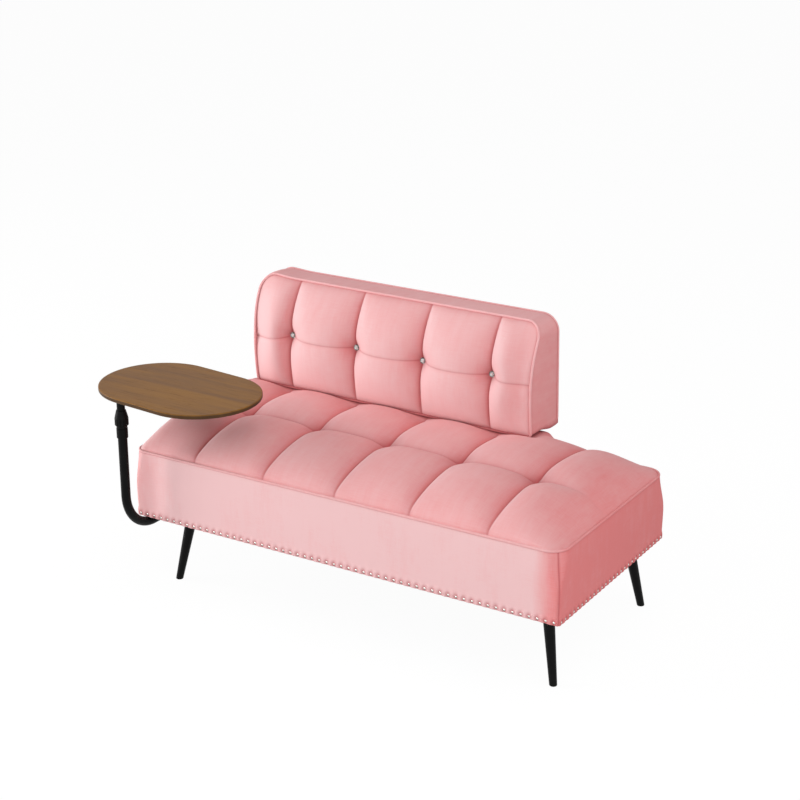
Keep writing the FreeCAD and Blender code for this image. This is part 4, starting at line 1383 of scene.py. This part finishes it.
    def make_top(self) -> None:
        """Tufted top, swollen by cloth between its seams."""
        columns = self.column_lines
        rows = self.row_lines
        across = crowded(columns, [self.column_cells] * (len(columns) - 1))
        piece, x, y = Bench.grid("seat_top", across, crowded(rows, self.row_cells))
        radii = [radius - self.edge_inset for radius in self.corner_radii]
        plan = np.column_stack(round_corners(x, y, columns[-1], rows[-1], radii)) + self.plan.middle
        places = np.column_stack((plan, self.top_height(x, y)))
        Bench.move(piece, self.press_under_back(places))
        # Painted shade in the seams, at their crossings and where the top runs under the backrest
        under_back = self.back.stands_over(places, self.shaded_before, self.shaded_beside)
        Bench.mark(piece, "crease_shade", np.clip(self.top_crease_shade(x, y) + under_back, 0, 1))
        Bench.lay_flat(piece, x, y)
        self.cloth.swell(piece, on_lines(x, columns) | on_lines(y, rows))
        Bench.move(piece, self.press_under_back(Bench.points(piece)))
        Bench.modify(piece, "SUBSURF", levels=1, render_levels=1)
        Bench.close(piece, axis=2, plane=self.plan.seam - self.skirt)
        # Painted shade by facing, for how light falls on the top
        Bench.paint_facing_shade(piece, self.painted_shade_top, self.painted_shade_turn)
        Bench.smooth(piece, angle=75)
        upholster(piece, self.velvet, ["seat_cushion"])

    def nails(self) -> np.ndarray:
        """Distances of the nails round the border's sharp outline; the rear has none."""
        outline = self.outline()
        places = []
        for index, (start, side) in enumerate(zip(outline.corners, outline.sides)):
            run = side - 2 * self.nail_from_corner
            gaps = max(1, round(run / self.nail_pitch))
            if index != REAR_SIDE:
                places.append(start + self.nail_from_corner + run * np.arange(gaps + 1) / gaps)
        return np.concatenate(places)

    def border_levels(self) -> np.ndarray:
        """Heights of the border's rows, which are closest at the nails and at the seam."""
        first, before_seam, count = self.rows_of_face
        return np.concatenate((
            np.linspace(*self.rows_at_nails),
            np.geomspace(*self.rows_above_nails),
            np.linspace(first, self.full - before_seam, count),
            self.full - np.linspace(*self.rows_at_seam),
        ))

    def make_border(self) -> None:
        """Padded border round the seat box, drawn in at the nails and the corner seams."""
        outline = self.outline()
        under = [(-self.wall, 0.0), (-self.hem, 0.0)]
        face = [tuple(self.hem_roll)] + [(0.0, level) for level in self.border_levels()]
        over = [(-self.seam_roll, self.full), (-self.wall, self.full), (-self.wall, 0.0)]
        section = np.array(under + face + over)
        stations = outline.stations(self.border_step)
        piece, distance, row = Bench.grid("seat_border", stations, np.arange(len(section)))
        offset, height = section[row].T
        on_face = (row >= len(under)) & (row < len(under + face))
        flare = ease(height / self.full, self.flare_from, 1.0)
        tops = [radius - self.piping_inset for radius in self.corner_radii]
        radii = [self.low_corner + (top - self.low_corner) * flare for top in tops]
        places, outward = outline.walk(distance, radii)
        offset = offset + np.where(on_face, self.border_swell(distance, height), 0.0)
        plan = places + outward * offset[:, None] + self.plan.middle
        Bench.move(piece, np.column_stack((plan, self.plan.bottom + height)))
        # Painted shade at the nails, the corner seams and under the piping, and painted shade by facing
        Bench.mark(piece, "crease_shade", self.border_crease_shade(distance, height))
        Bench.mark(piece, "painted_shade", self.border_painted_shade(distance, outward))
        Bench.lay_flat(piece, distance, height)
        Bench.weld(piece)
        Bench.smooth(piece, angle=70)
        upholster(
            piece, self.velvet, ["front_border", "rear_border", "left_border", "right_border"]
        )

    def border_swell(self, distance: np.ndarray, height: np.ndarray) -> np.ndarray:
        """How far the border stands out of the box.

        Args:
            distance: Distances round the outline.
            height: Heights above the lower edge.

        Returns:
            The outward offsets.
        """
        corners = self.outline().corners
        bow = np.sin(math.pi * np.clip(height / self.full, 0, 1))
        swell = self.border_fullness * bow ** self.border_roundness
        left_corner = to_nearest(distance, [corners[0], corners[-1]])
        swell -= self.hollow * hill(left_corner - self.hollow_from_corner, self.hollow_width) * bow
        dent_along, dent_up = self.nail_dent
        pinned = hill(to_nearest(distance, self.nails()), dent_along)
        pinned *= hill(height - self.nail_height, dent_up)
        puff_from, puff_to = self.nail_puff_span
        swell += self.nail_puff * ease(-height, -puff_from, -puff_to) * (1 - pinned)
        swell -= self.corner_draw * np.exp(-to_nearest(distance, corners) / self.corner_draw_width)
        return swell - self.seam_draw * ease(height, self.full - self.seam_draw_height, self.full)

    def border_crease_shade(self, distance: np.ndarray, height: np.ndarray) -> np.ndarray:
        """Painted shade of the border at the nails, the corner seams and under the piping.

        Args:
            distance: Distances round the outline.
            height: Heights above the lower edge.

        Returns:
            The painted shade.
        """
        along, up = self.nail_shade
        crease_shade = hill(to_nearest(distance, self.nails()), along) * hill(height - self.nail_height, up)
        corner = to_nearest(distance, self.outline().corners)
        crease_shade += self.corner_shade * np.exp(-corner / self.corner_shade_width)
        shade_from, shade_to = self.seam_shade_span
        crease_shade += self.seam_shade * ease(height, self.full - shade_from, self.full - shade_to)
        return np.clip(crease_shade, 0, 1)

    def border_painted_shade(self, distance: np.ndarray, outward: np.ndarray) -> np.ndarray:
        """Painted shade of the border for how light falls: deepest at the right end and before the front
        right corner.

        Args:
            distance: Distances round the outline.
            outward: Outward directions.

        Returns:
            The painted shade.
        """
        rightward = facing(outward[:, 0])
        forward = np.clip(-outward[:, 1], 0, 1)
        painted_shade = self.painted_shade_right * rightward + self.painted_shade_left * facing(-outward[:, 0])
        painted_shade += self.painted_shade_rear * facing(outward[:, 1])
        start, stop = (self.outline().corners[1] - before for before in self.painted_shade_corner_span)
        painted_shade += self.painted_shade_corner * ease(distance, start, stop) * forward * (1 - rightward)
        start, stop = (-after for after in self.painted_shade_hollow_span)
        return painted_shade + self.painted_shade_hollow * ease(-distance, start, stop) * forward

    def make_piping(self) -> None:
        """Covered cord in the seam between the border and the top."""
        outline = self.outline(self.piping_inset)
        radii = [radius - self.piping_inset for radius in self.corner_radii]
        flat, outward = outline.walk(outline.stations(self.piping_step), radii)
        count = len(flat)
        path = np.column_stack((flat + self.plan.middle, np.full(count, self.plan.seam)))
        across = np.column_stack((outward, np.zeros(count)))
        upward = np.tile((0.0, 0.0, 1.0), (count, 1))
        # Painted shade of the cord, deeper where it faces right
        painted_shade = self.painted_shade_cord + (self.painted_shade_cord_right - self.painted_shade_cord) * facing(outward[:, 0])
        piece = Bench.tube(
            "seat_cord", path, across, upward, self.piping_radius, self.piping_bare, np.zeros(count), painted_shade
        )
        upholster(piece, self.velvet, ["seat_piping"])

    def make_dust_cover(self) -> None:
        """Cloth stretched under the frame, which sags a little between the rails."""
        low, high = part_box("dust_cover")
        across = np.linspace(low.x, high.x, self.dust_lines[0])
        along = np.linspace(low.y, high.y, self.dust_lines[1])
        piece, x, y = Bench.grid("dust_cloth", across, along)
        lines = [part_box("left_end_rail")[1].x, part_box("cross_rail_left")[0].x]
        lines += [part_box("cross_rail_right")[1].x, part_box("right_end_rail")[0].x]
        rows = [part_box("front_rail")[1].y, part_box("rear_rail")[0].y]
        sag = self.dust_hang.fullness(x, lines) * self.dust_hang.fullness(y, rows)
        Bench.move(piece, np.column_stack((x, y, high.z - self.dust_gap - self.dust_sag * sag)))
        Bench.modify(piece, "SOLIDIFY", thickness=self.dust_thickness, offset=-1.0)
        Bench.smooth(piece)
        join_sofa(piece, self.dust, ["dust_cover"])


# Backrest


@dataclass
class Backrest:
    """Tufted backrest: front, band, rear, two cords and the buttons."""

    plan: BackPlan
    velvet: bpy.types.Material
    rim: bpy.types.Material
    stone: bpy.types.Material
    cloth: ClothPuff = ClothPuff()
    corner_zone: float = 70 * MM
    edge_inset: float = 3 * MM

    # Form of the front
    column_cells: Sequence[int] = (18, 26, 26, 26, 18)
    row_cells: Sequence[int] = (26, 26)
    puff: float = 31 * MM
    tuft_across: Tuft = Tuft(width=2.0, power=0.8, skew=0.78)
    tuft_up: Tuft = Tuft(width=2.6, power=0.55)
    end_fall: Sequence[float] = (-12 * MM, 95 * MM)
    sag: float = 2 * MM
    left_sag: float = 20 * MM
    right_sag: float = 10 * MM
    sag_power: float = 0.6
    row_depth: float = 2.6 * MM
    row_width: float = 3.5 * MM
    row_from_button: float = 30 * MM
    row_hollow: float = 4 * MM
    row_hollow_width: float = 24 * MM
    button_depth: float = 13 * MM
    button_well: float = 9 * MM
    button_reach: float = 15 * MM
    groove: float = 4 * MM
    groove_width: float = 2.5 * MM
    rim_groove: float = 2.5 * MM
    rim_groove_width: float = 5 * MM
    pad_into_frame: float = 4 * MM

    # Painted shade of the front
    column_seam_shade: Seam = Seam(depth=1.3, line=2 * MM, slope=28 * MM)
    row_shade: float = 0.5
    row_shade_width: float = 1.8 * MM
    button_shade: float = 0.5
    rim_shade: float = 0.6
    rim_shade_width: float = 3 * MM
    painted_shade_front: float = 0.03
    painted_shade_turn: float = 1.2
    painted_shade_rise: float = 0.4

    # Band, rear and cords
    band_lines: int = 19
    band_step: float = 7 * MM
    band_fullness: float = 1.6 * MM
    band_skew: float = 0.6
    band_roundness: float = 0.6
    band_inset: float = 1.5 * MM
    band_thickness: float = 4 * MM
    # Painted shade along the band's two edges
    band_shade: float = 0.7
    band_shade_width: float = 0.03
    left_bulge: float = 8 * MM
    left_bulge_span: Sequence[float] = (-0.3, 0.7)
    rear_lines: Sequence[int] = (91, 41)
    rear_puff: float = 6 * MM
    rear_across: Tuft = Tuft(width=6.0, power=0.5)
    rear_up: Tuft = Tuft(width=3.0, power=0.5)
    rear_into_frame: float = 8 * MM
    piping_radius: float = 3.5 * MM
    piping_inset: float = 1.5 * MM
    piping_step: float = 6 * MM
    piping_bare: float = math.radians(45)
    # Painted shade of the cords' lower run, and painted shade by facing of the cords, band and rear
    piping_fold_shade: float = 0.9
    piping_fold_shade_span: Sequence[float] = (0.4, 0.9)
    painted_shade_cord: float = 0.3
    painted_shade_top: float = 0.4
    painted_shade_right: float = 0.6
    painted_shade_left: float = 0.2
    painted_shade_rear: float = 0.4

    # Buttons
    button_gain: float = 1.2
    cup_depth: float = 7 * MM
    cup_corners: int = 40
    cup_wall: float = 1.3 * MM
    cup_well: float = 1.6 * MM
    cup_roll: float = 0.55 * MM
    stone_sides: int = 8
    stone_table: float = 0.6
    stone_bevel: float = 0.12 * MM

    def build(self) -> None:
        """Make and dress every piece of the backrest."""
        plan = self.plan
        self.make_front()
        self.make_band()
        self.make_rear()
        self.make_cord("back_cord_front", "back_piping_front", plan.front_edge, 0.0, self.piping_bare)
        self.make_cord(
            "back_cord_rear", "back_piping_rear", plan.rear_edge, plan.rear_drop, -self.piping_bare
        )
        self.make_buttons()

    @property
    def row(self) -> float:
        """Height of the buttons above the middle of the outline."""
        return self.plan.bottom + self.plan.row_height - self.plan.middle[1]

    @property
    def half_face(self) -> tuple[float, float]:
        """Half of the width and of the height of the front and the rear."""
        return self.plan.half_width - self.edge_inset, self.plan.half_height - self.edge_inset

    def outline(self, inset: float = 0.0) -> Outline:
        """Outline of the backrest, drawn in by an inset."""
        return Outline(self.plan.half_width - inset, self.plan.half_height - inset, self.corner_zone)

    def on_face(self, x: np.ndarray, z: np.ndarray) -> np.ndarray:
        """Put points of the front or the rear into the rounded outline with its fuller shoulder.

        Args:
            x: Places across the backrest, from its middle.
            z: Places up the backrest, from its middle.

        Returns:
            The points in the part's frame, as X and Z.
        """
        radii = [radius - self.edge_inset for radius in self.plan.radii]
        turned = np.column_stack(round_corners(x, z, *self.half_face, radii))
        return self.plan.shoulder(turned) + self.plan.middle

    def row_sag(self, x: np.ndarray) -> np.ndarray:
        """How far the row seam hangs below the buttons.

        Args:
            x: Places across the backrest, from its middle.

        Returns:
            The distances.
        """
        columns = self.plan.columns
        sag = np.zeros_like(x)
        for low, high in zip(columns, columns[1:]):
            inside = (x > low) & (x < high)
            sag[inside] = self.sag * np.sin(math.pi * (x[inside] - low) / (high - low)) ** self.sag_power
        beyond = np.maximum(np.abs(x) - columns[-1], 0) / (self.plan.half_width - columns[-1])
        ends = np.where(x < 0, self.left_sag, self.right_sag)
        return sag + ends * np.clip(beyond, 0, 1) ** self.sag_power

    def make_front(self) -> None:
        """Tufted front, swollen by cloth between its seams."""
        half_x, half_z = self.half_face
        columns = [-half_x, *self.plan.columns, half_x]
        rows = [-half_z, self.row, half_z]
        across = crowded(columns, self.column_cells)
        piece, x, z = Bench.grid("back_front", across, crowded(rows, self.row_cells))
        below = (z + half_z) / (self.row + half_z)
        above = (half_z - z) / (half_z - self.row)
        hung = z - self.row_sag(x) * np.clip(np.where(z < self.row, below, above), 0, 1)
        face = self.on_face(x, hung)
        upright = self.tuft_up.fullness(z, [-half_z, half_z])
        tuft = self.tuft_across.fullness(x, columns) * upright
        tuft *= ease(half_x - np.abs(x), *self.end_fall)
        from_column = from_nearest(x, self.plan.columns)
        to_column = np.abs(from_column)
        to_row = np.abs(z - self.row)
        to_rim = np.minimum(half_x - np.abs(x), half_z - np.abs(z))
        to_button = np.hypot(to_column, hung - self.row)
        button = np.exp(-np.maximum(to_button - self.button_well, 0) / self.button_reach)
        stitched = hill(to_row, self.row_width) * ease(to_column, 0, self.row_from_button)
        forward = self.puff * tuft - self.row_depth * stitched
        forward -= self.row_hollow * hill(to_row, self.row_hollow_width) * upright
        forward = forward * (1 - button) - self.button_depth * button
        forward -= self.rim_groove * np.exp(-to_rim / self.rim_groove_width)
        forward -= self.groove * np.exp(-to_column / self.groove_width) * upright
        depth = self.plan.front_edge(face[:, 1]) - forward
        Bench.move(piece, np.column_stack((face[:, 0], depth, face[:, 1])))
        # Painted shade along the seams, the row seam, round the buttons and along the rim
        crease_shade = self.column_seam_shade.crease_shade(from_column)
        crease_shade += self.row_shade * np.exp(-to_row / self.row_shade_width) + self.button_shade * button
        crease_shade += self.rim_shade * np.exp(-to_rim / self.rim_shade_width)
        Bench.mark(piece, "crease_shade", np.clip(crease_shade, 0, 1))
        Bench.lay_flat(piece, x, z)
        self.cloth.swell(piece, on_lines(x, columns) | on_lines(z, rows))
        Bench.modify(piece, "SUBSURF", levels=1, render_levels=1)
        Bench.close(piece, axis=1, plane=self.plan.pad_rear - self.pad_into_frame)
        # Painted shade by facing, for how light falls on the front
        Bench.paint_facing_shade(piece, self.painted_shade_front, self.painted_shade_turn, self.painted_shade_rise)
        Bench.smooth(piece, angle=75)
        upholster(piece, self.velvet, ["back_front_pad"])

    def make_band(self) -> None:
        """Padded band round the backrest between its two cords."""
        outline = self.outline()
        shares = np.linspace(0.0, 1.0, self.band_lines)
        piece, distance, share = Bench.grid("back_band", outline.stations(self.band_step), shares)
        flat, outward = outline.walk(distance, self.plan.radii)
        leftward = np.clip(-outward[:, 0], 0, 1)
        leftward *= ease(flat[:, 1] / self.plan.half_height, *self.left_bulge_span)
        bow = np.sin(math.pi * share ** self.band_skew) ** self.band_roundness
        bulge = (self.band_fullness + self.left_bulge * leftward) * bow
        under = np.clip(-outward[:, 1], 0, 1)
        offset = bulge * (1 - under) + self.plan.underside(share) * under - self.band_inset
        flat = self.plan.shoulder(flat) + outward * offset[:, None] + self.plan.middle
        flat[:, 1] -= self.plan.rear_drop * share
        front = self.plan.front_edge(flat[:, 1])
        depth = front + (self.plan.rear_edge(flat[:, 1]) - front) * share
        Bench.move(piece, np.column_stack((flat[:, 0], depth, flat[:, 1])))
        # Painted shade along the band's two edges and on its underside, and painted shade by facing at its
        # ends
        seams = self.band_shade * np.exp(-np.minimum(share, 1 - share) / self.band_shade_width)
        Bench.mark(piece, "crease_shade", np.clip(seams + under, 0, 1))
        ends = np.where(outward[:, 0] > 0, self.painted_shade_right, self.painted_shade_left)
        Bench.mark(piece, "painted_shade", self.painted_shade_top + (ends - self.painted_shade_top) * outward[:, 0] ** 2)
        Bench.lay_flat(piece, distance, depth)
        Bench.weld(piece)
        Bench.modify(piece, "SOLIDIFY", thickness=self.band_thickness, offset=-1.0)
        Bench.smooth(piece)
        upholster(piece, self.velvet, ["back_gusset"])

    def make_rear(self) -> None:
        """Padded rear of the backrest."""
        half_x, half_z = self.half_face
        across = np.linspace(half_x, -half_x, self.rear_lines[0])
        piece, x, z = Bench.grid("back_rear", across, np.linspace(-half_z, half_z, self.rear_lines[1]))
        face = self.on_face(x, z) - np.array([0.0, self.plan.rear_drop])
        bulge = self.rear_across.fullness(x, [-half_x, half_x]) * self.rear_up.fullness(z, [-half_z, half_z])
        depth = self.plan.rear_edge(face[:, 1]) + self.rear_puff * bulge
        Bench.move(piece, np.column_stack((face[:, 0], depth, face[:, 1])))
        # Painted shade of the rear, the same all over
        Bench.mark(piece, "painted_shade", np.full(len(x), self.painted_shade_rear))
        Bench.lay_flat(piece, x, z)
        Bench.modify(piece, "SUBSURF", levels=1, render_levels=1)
        Bench.close(piece, axis=1, plane=self.plan.frame_rear + self.rear_into_frame)
        Bench.smooth(piece, angle=75)
        upholster(piece, self.velvet, ["back_rear_pad"])

    def make_cord(self, name: str, node: str, edge: Callable[[np.ndarray], np.ndarray],
                  drop: float, bare: float) -> None:
        """Covered cord round one edge of the backrest.

        Args:
            name: Name of the piece.
            node: The frame's node that it stands for.
            edge: Depth of that edge at each height.
            drop: How far the edge hangs below the outline.
            bare: Angle round the section of the side that the seam leaves bare, in radians.
        """
        outline = self.outline(self.piping_inset)
        radii = [radius - self.piping_inset for radius in self.plan.radii]
        flat, outward = outline.walk(outline.stations(self.piping_step), radii)
        flat = self.plan.shoulder(flat) + self.plan.middle - np.array([0.0, drop])
        count = len(flat)
        path = np.column_stack((flat[:, 0], edge(flat[:, 1]), flat[:, 1]))
        across = np.column_stack((outward[:, 0], np.zeros(count), outward[:, 1]))
        forward = np.tile((0.0, -1.0, 0.0), (count, 1))
        # Painted shade on the cord's lower run, and an even painted shade
        fold_shade = self.piping_fold_shade * ease(-outward[:, 1], *self.piping_fold_shade_span)
        painted_shade = np.full(count, self.painted_shade_cord)
        piece = Bench.tube(name, path, across, forward, self.piping_radius, bare, fold_shade, painted_shade)
        upholster(piece, self.velvet, [node])

    def make_buttons(self) -> None:
        """Four buttons, each a rim with a cut stone."""
        rim_low, rim_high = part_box("button_rims")
        stone_low, stone_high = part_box("button_crystals")
        height = (rim_low.z + rim_high.z) / 2
        radius = self.button_gain * (rim_high.z - rim_low.z) / 2
        girdle = self.button_gain * (stone_high.z - stone_low.z) / 2
        rims = []
        stones = []
        for column in self.plan.columns:
            x = column + self.plan.middle[0]
            rims.append(self._rim(Vector((x, rim_low.y, height)), radius))
            stones.append(self._stone(Vector((x, stone_high.y, height)), girdle, stone_high.y - stone_low.y))
        for name, pieces, node, material, slot in (
            ("button_cups", rims, "button_rims", self.rim, Slot.SILVER_RIM),
            ("button_stones", stones, "button_crystals", self.stone, Slot.CRYSTAL),
        ):
            Bench.only(pieces[0])
            for other in pieces[1:]:
                other.select_set(True)
            bpy.ops.object.join()
            piece = bpy.context.object
            piece.name = name
            join_sofa(piece, material, [node])

    @staticmethod
    def _facing_front(piece: bpy.types.Object, place: Vector) -> None:
        """Turn a piece modelled along Z to face the front, and put it in its place.

        Args:
            piece: The piece.
            place: Where its origin goes.
        """
        turn = Euler((math.radians(90), 0, 0)).to_matrix().to_4x4()
        piece.data.transform(Matrix.Translation(place) @ turn)
        piece.matrix_world = Matrix.Identity(4)

    def _rim(self, place: Vector, radius: float) -> bpy.types.Object:
        """Cup of one button with a rolled edge.

        Args:
            place: Middle of its front.
            radius: Its radius.

        Returns:
            The cup.
        """
        bpy.ops.object.select_all(action="DESELECT")
        bpy.ops.mesh.primitive_cylinder_add(
            vertices=self.cup_corners, radius=radius, depth=self.cup_depth, location=(0, 0, 0)
        )
        piece = bpy.context.object
        Bench.only(piece)
        bpy.ops.object.mode_set(mode="EDIT")
        bpy.ops.mesh.select_mode(type="FACE")
        bpy.ops.mesh.select_all(action="DESELECT")
        bpy.ops.object.mode_set(mode="OBJECT")
        for face in piece.data.polygons:
            face.select = face.normal.z > 0.5
        bpy.ops.object.mode_set(mode="EDIT")
        bpy.ops.mesh.inset(thickness=self.cup_wall)
        bpy.ops.mesh.extrude_region_move(TRANSFORM_OT_translate={"value": (0, 0, -self.cup_well)})
        bpy.ops.object.mode_set(mode="OBJECT")
        Bench.modify(piece, "BEVEL", width=self.cup_roll, segments=3, limit_method="ANGLE")
        self._facing_front(piece, place + Vector((0, self.cup_depth / 2, 0)))
        Bench.smooth(piece, angle=40)
        return piece

    def _stone(self, place: Vector, radius: float, height: float) -> bpy.types.Object:
        """Cut stone of one button: a girdle, a crown with facets and a flat table.

        Args:
            place: Middle of its girdle.
            radius: Radius of the girdle.
            height: Height of the crown.

        Returns:
            The stone.
        """
        bpy.ops.object.select_all(action="DESELECT")
        bpy.ops.mesh.primitive_cylinder_add(
            vertices=self.stone_sides, radius=radius, depth=height, location=(0, 0, height / 2)
        )
        piece = bpy.context.object
        bpy.ops.object.transform_apply(location=True, rotation=False, scale=False)
        places = Bench.points(piece)
        upper = places[:, 2] > height / 2
        half_turn = math.pi / self.stone_sides
        spin = np.array([
            [math.cos(half_turn), -math.sin(half_turn)],
            [math.sin(half_turn), math.cos(half_turn)],
        ])
        places[upper, :2] = self.stone_table * places[upper, :2] @ spin.T
        Bench.move(piece, places)
        Bench.modify(piece, "TRIANGULATE")
        Bench.modify(piece, "BEVEL", width=self.stone_bevel, segments=1, limit_method="ANGLE")
        self._facing_front(piece, place)
        return piece


# Rigid pieces of the frame


@dataclass
class Hardware:
    """Finishes of the pieces that keep their shape from the frame."""

    nodes: Mapping[str, bpy.types.Object]
    slots: Mapping[str, str]
    finishes: Mapping[Slot, bpy.types.Material]

    def dress(self) -> None:
        """Give each node the finish of its slot."""
        for name, piece in self.nodes.items():
            finish = self.finishes[Slot(self.slots[name])]
            piece.data.materials.clear()
            piece.data.materials.append(finish)
        LOG.info("dressed %d nodes of the frame", len(self.nodes))


# Studio


@dataclass(frozen=True)
class Lamp:
    """Square soft lamp that hangs at a place from its target, and points at it."""

    name: str
    place: Sequence[float]
    size: float
    power: float

    def hang(self, target: Vector) -> None:
        """Add the lamp to the scene.

        Args:
            target: What it points at.
        """
        data = bpy.data.lights.new(self.name, "AREA")
        data.size = self.size
        data.energy = self.power
        lamp = bpy.data.objects.new(self.name, data)
        bpy.context.scene.collection.objects.link(lamp)
        aim = (-Vector(self.place)).to_track_quat("-Z", "Y")
        lamp.matrix_world = Matrix.Translation(target + Vector(self.place)) @ aim.to_matrix().to_4x4()


@dataclass
class Studio:
    """Camera, lamps, floor and surroundings."""

    seat: SeatPlan
    camera_from_seat: Sequence[float] = (2.3994, -3.8626, 2.2343)
    azimuth: float = 31.7
    elevation: float = 20.17
    roll: float = -0.15
    lens: float = 82.17
    sensor: float = 36.0
    farthest: float = 200.0
    floor_size: float = 80.0
    floor_grey: float = 0.82
    floor_glow: float = 1.03
    floor_shown: float = 0.93
    world_light: float = 0.29
    lamps: Sequence[Lamp] = (
        Lamp("key", place=(-4.4, -1.9, 0.95), size=3.0, power=188),
        Lamp("front", place=(0.5, -4.6, 0.7), size=3.6, power=44),
        Lamp("fill", place=(3.8, -2.2, 1.4), size=3.0, power=40),
        Lamp("top", place=(1.8, -0.4, 3.6), size=4.0, power=66),
    )

    def build(self) -> None:
        """Make everything around the object."""
        scene = bpy.context.scene
        scene.view_settings.view_transform = "Standard"
        self.make_camera(scene)
        self.make_floor()
        self.make_world(scene)
        for lamp in self.lamps:
            lamp.hang(Vector((*self.seat.middle, self.seat.seam)))

    def make_camera(self, scene: bpy.types.Scene) -> None:
        """Camera at the photograph's angle.

        Args:
            scene: The scene that uses it.
        """
        around = math.radians(self.azimuth)
        up = math.radians(self.elevation)
        back = Vector((math.sin(around) * math.cos(up), -math.cos(around) * math.cos(up), math.sin(up)))
        right = Vector((math.cos(around), math.sin(around), 0.0))
        axes = Matrix((right, back.cross(right), back)).transposed()
        turn = axes @ Matrix.Rotation(math.radians(self.roll), 3, "Z")
        data = bpy.data.cameras.new("view")
        data.lens = self.lens
        data.sensor_width = self.sensor
        data.clip_end = self.farthest
        camera = bpy.data.objects.new("view", data)
        scene.collection.objects.link(camera)
        place = Vector((*self.seat.middle, 0.0)) + Vector(self.camera_from_seat)
        camera.matrix_world = Matrix.Translation(place) @ turn.to_4x4()
        scene.camera = camera

    def make_floor(self) -> None:
        """White floor that keeps a faint shadow."""
        bpy.ops.object.select_all(action="DESELECT")
        bpy.ops.mesh.primitive_plane_add(size=self.floor_size, location=(0, 0, 0))
        floor = bpy.context.object
        floor.name = "floor"
        graph = Graph("floor_white")
        paint = graph.node("ShaderNodeBsdfDiffuse", None, {"Color": (*[self.floor_grey] * 3, 1.0)})
        glow = graph.node("ShaderNodeEmission", None, {"Color": WHITE, "Strength": self.floor_glow})
        shown = graph.seen_directly() * self.floor_shown
        surface = graph.node("ShaderNodeMixShader", None, {0: shown, 1: paint, 2: glow})
        graph.node("ShaderNodeOutputMaterial", None, {"Surface": surface})
        floor.data.materials.append(graph.owner)

    def make_world(self, scene: bpy.types.Scene) -> None:
        """Surroundings that light the object softly, and are white where they are seen.

        Args:
            scene: The scene that uses them.
        """
        graph = Graph("surroundings", bpy.data.worlds)
        strength = graph.seen_directly() * (1 - self.world_light) + self.world_light
        light = graph.node("ShaderNodeBackground", None, {"Color": WHITE, "Strength": strength})
        graph.node("ShaderNodeOutputWorld", None, {"Surface": light})
        scene.world = graph.owner


def finishes(
    table: tuple[Vector, Vector], nailheads: tuple[Vector, Vector]
) -> dict[Slot, bpy.types.Material]:
    """Materials of every slot.

    Args:
        table: Lowest and highest corner of the table top.
        nailheads: Lowest and highest corner of a row of nailheads.

    Returns:
        A material for each slot.
    """
    made = {
        Slot.VELVET: Velvet(),
        Slot.DUST_FABRIC: DustCloth(),
        Slot.FRAME_TIMBER: Wood(
            "frame_timber", light=(0.62, 0.42, 0.22), dark=(0.46, 0.28, 0.13), vein=(0.34, 0.19, 0.08)
        ),
        Slot.PLYWOOD: Wood(
            "plywood", light=(0.66, 0.49, 0.29), dark=(0.54, 0.37, 0.20), vein=(0.42, 0.27, 0.13)
        ),
        Slot.WALNUT: Wood(
            "walnut", light=(0.28, 0.130, 0.030), dark=(0.17, 0.072, 0.017), vein=(0.078, 0.031, 0.009),
            turn=-TABLE_TURN, centre=tuple((table[0] + table[1]) / 2), coat=0.03, edge_top=table[1].z,
        ),
        Slot.BLACK_STEEL: Coat(
            "black_steel", colour=(0.0012, 0.0012, 0.0012), roughness=0.42, peel_scale=900.0,
            peel_height=0.06 * MM,
        ),
        Slot.BLACK_PLASTIC: Coat(
            "black_plastic", colour=(0.0016, 0.0016, 0.0016), roughness=0.48, peel_scale=1300.0,
            peel_height=0.04 * MM,
        ),
        Slot.ZINC_STEEL: Plate(
            "zinc_steel", bright=(0.62, 0.62, 0.63), dull=(0.42, 0.42, 0.42), roughness=0.32
        ),
        Slot.PEWTER: Plate(
            "pewter", bright=(0.72, 0.70, 0.66), dull=(0.045, 0.04, 0.037), roughness=0.14,
            heads_at=(nailheads[0].z + nailheads[1].z) / 2,
        ),
        Slot.SILVER_RIM: Plate(
            "silver_rim", bright=(0.40, 0.44, 0.42), dull=(0.14, 0.16, 0.15), roughness=0.10
        ),
        Slot.CRYSTAL: CutGlass(),
    }
    return {slot: finish.material() for slot, finish in made.items()}


def main() -> None:
    """Build the dressed sofa and its studio."""
    logging.basicConfig(level=logging.INFO, format="%(name)s: %(message)s")
    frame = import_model()
    seat_plan = SeatPlan.from_frame()
    back_plan = BackPlan.from_frame()
    dressed = finishes(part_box("table_top"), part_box("nailheads_front"))
    slots = {row["node"]: row["material_slot"] for row in frame["record"]["subparts"]}
    Hardware(frame["nodes"], slots, dressed).dress()
    Seat(seat_plan, back_plan, dressed[Slot.VELVET], dressed[Slot.DUST_FABRIC]).build()
    Backrest(back_plan, dressed[Slot.VELVET], dressed[Slot.SILVER_RIM], dressed[Slot.CRYSTAL]).build()
    Studio(seat_plan).build()


if __name__ == "__main__":
    main()
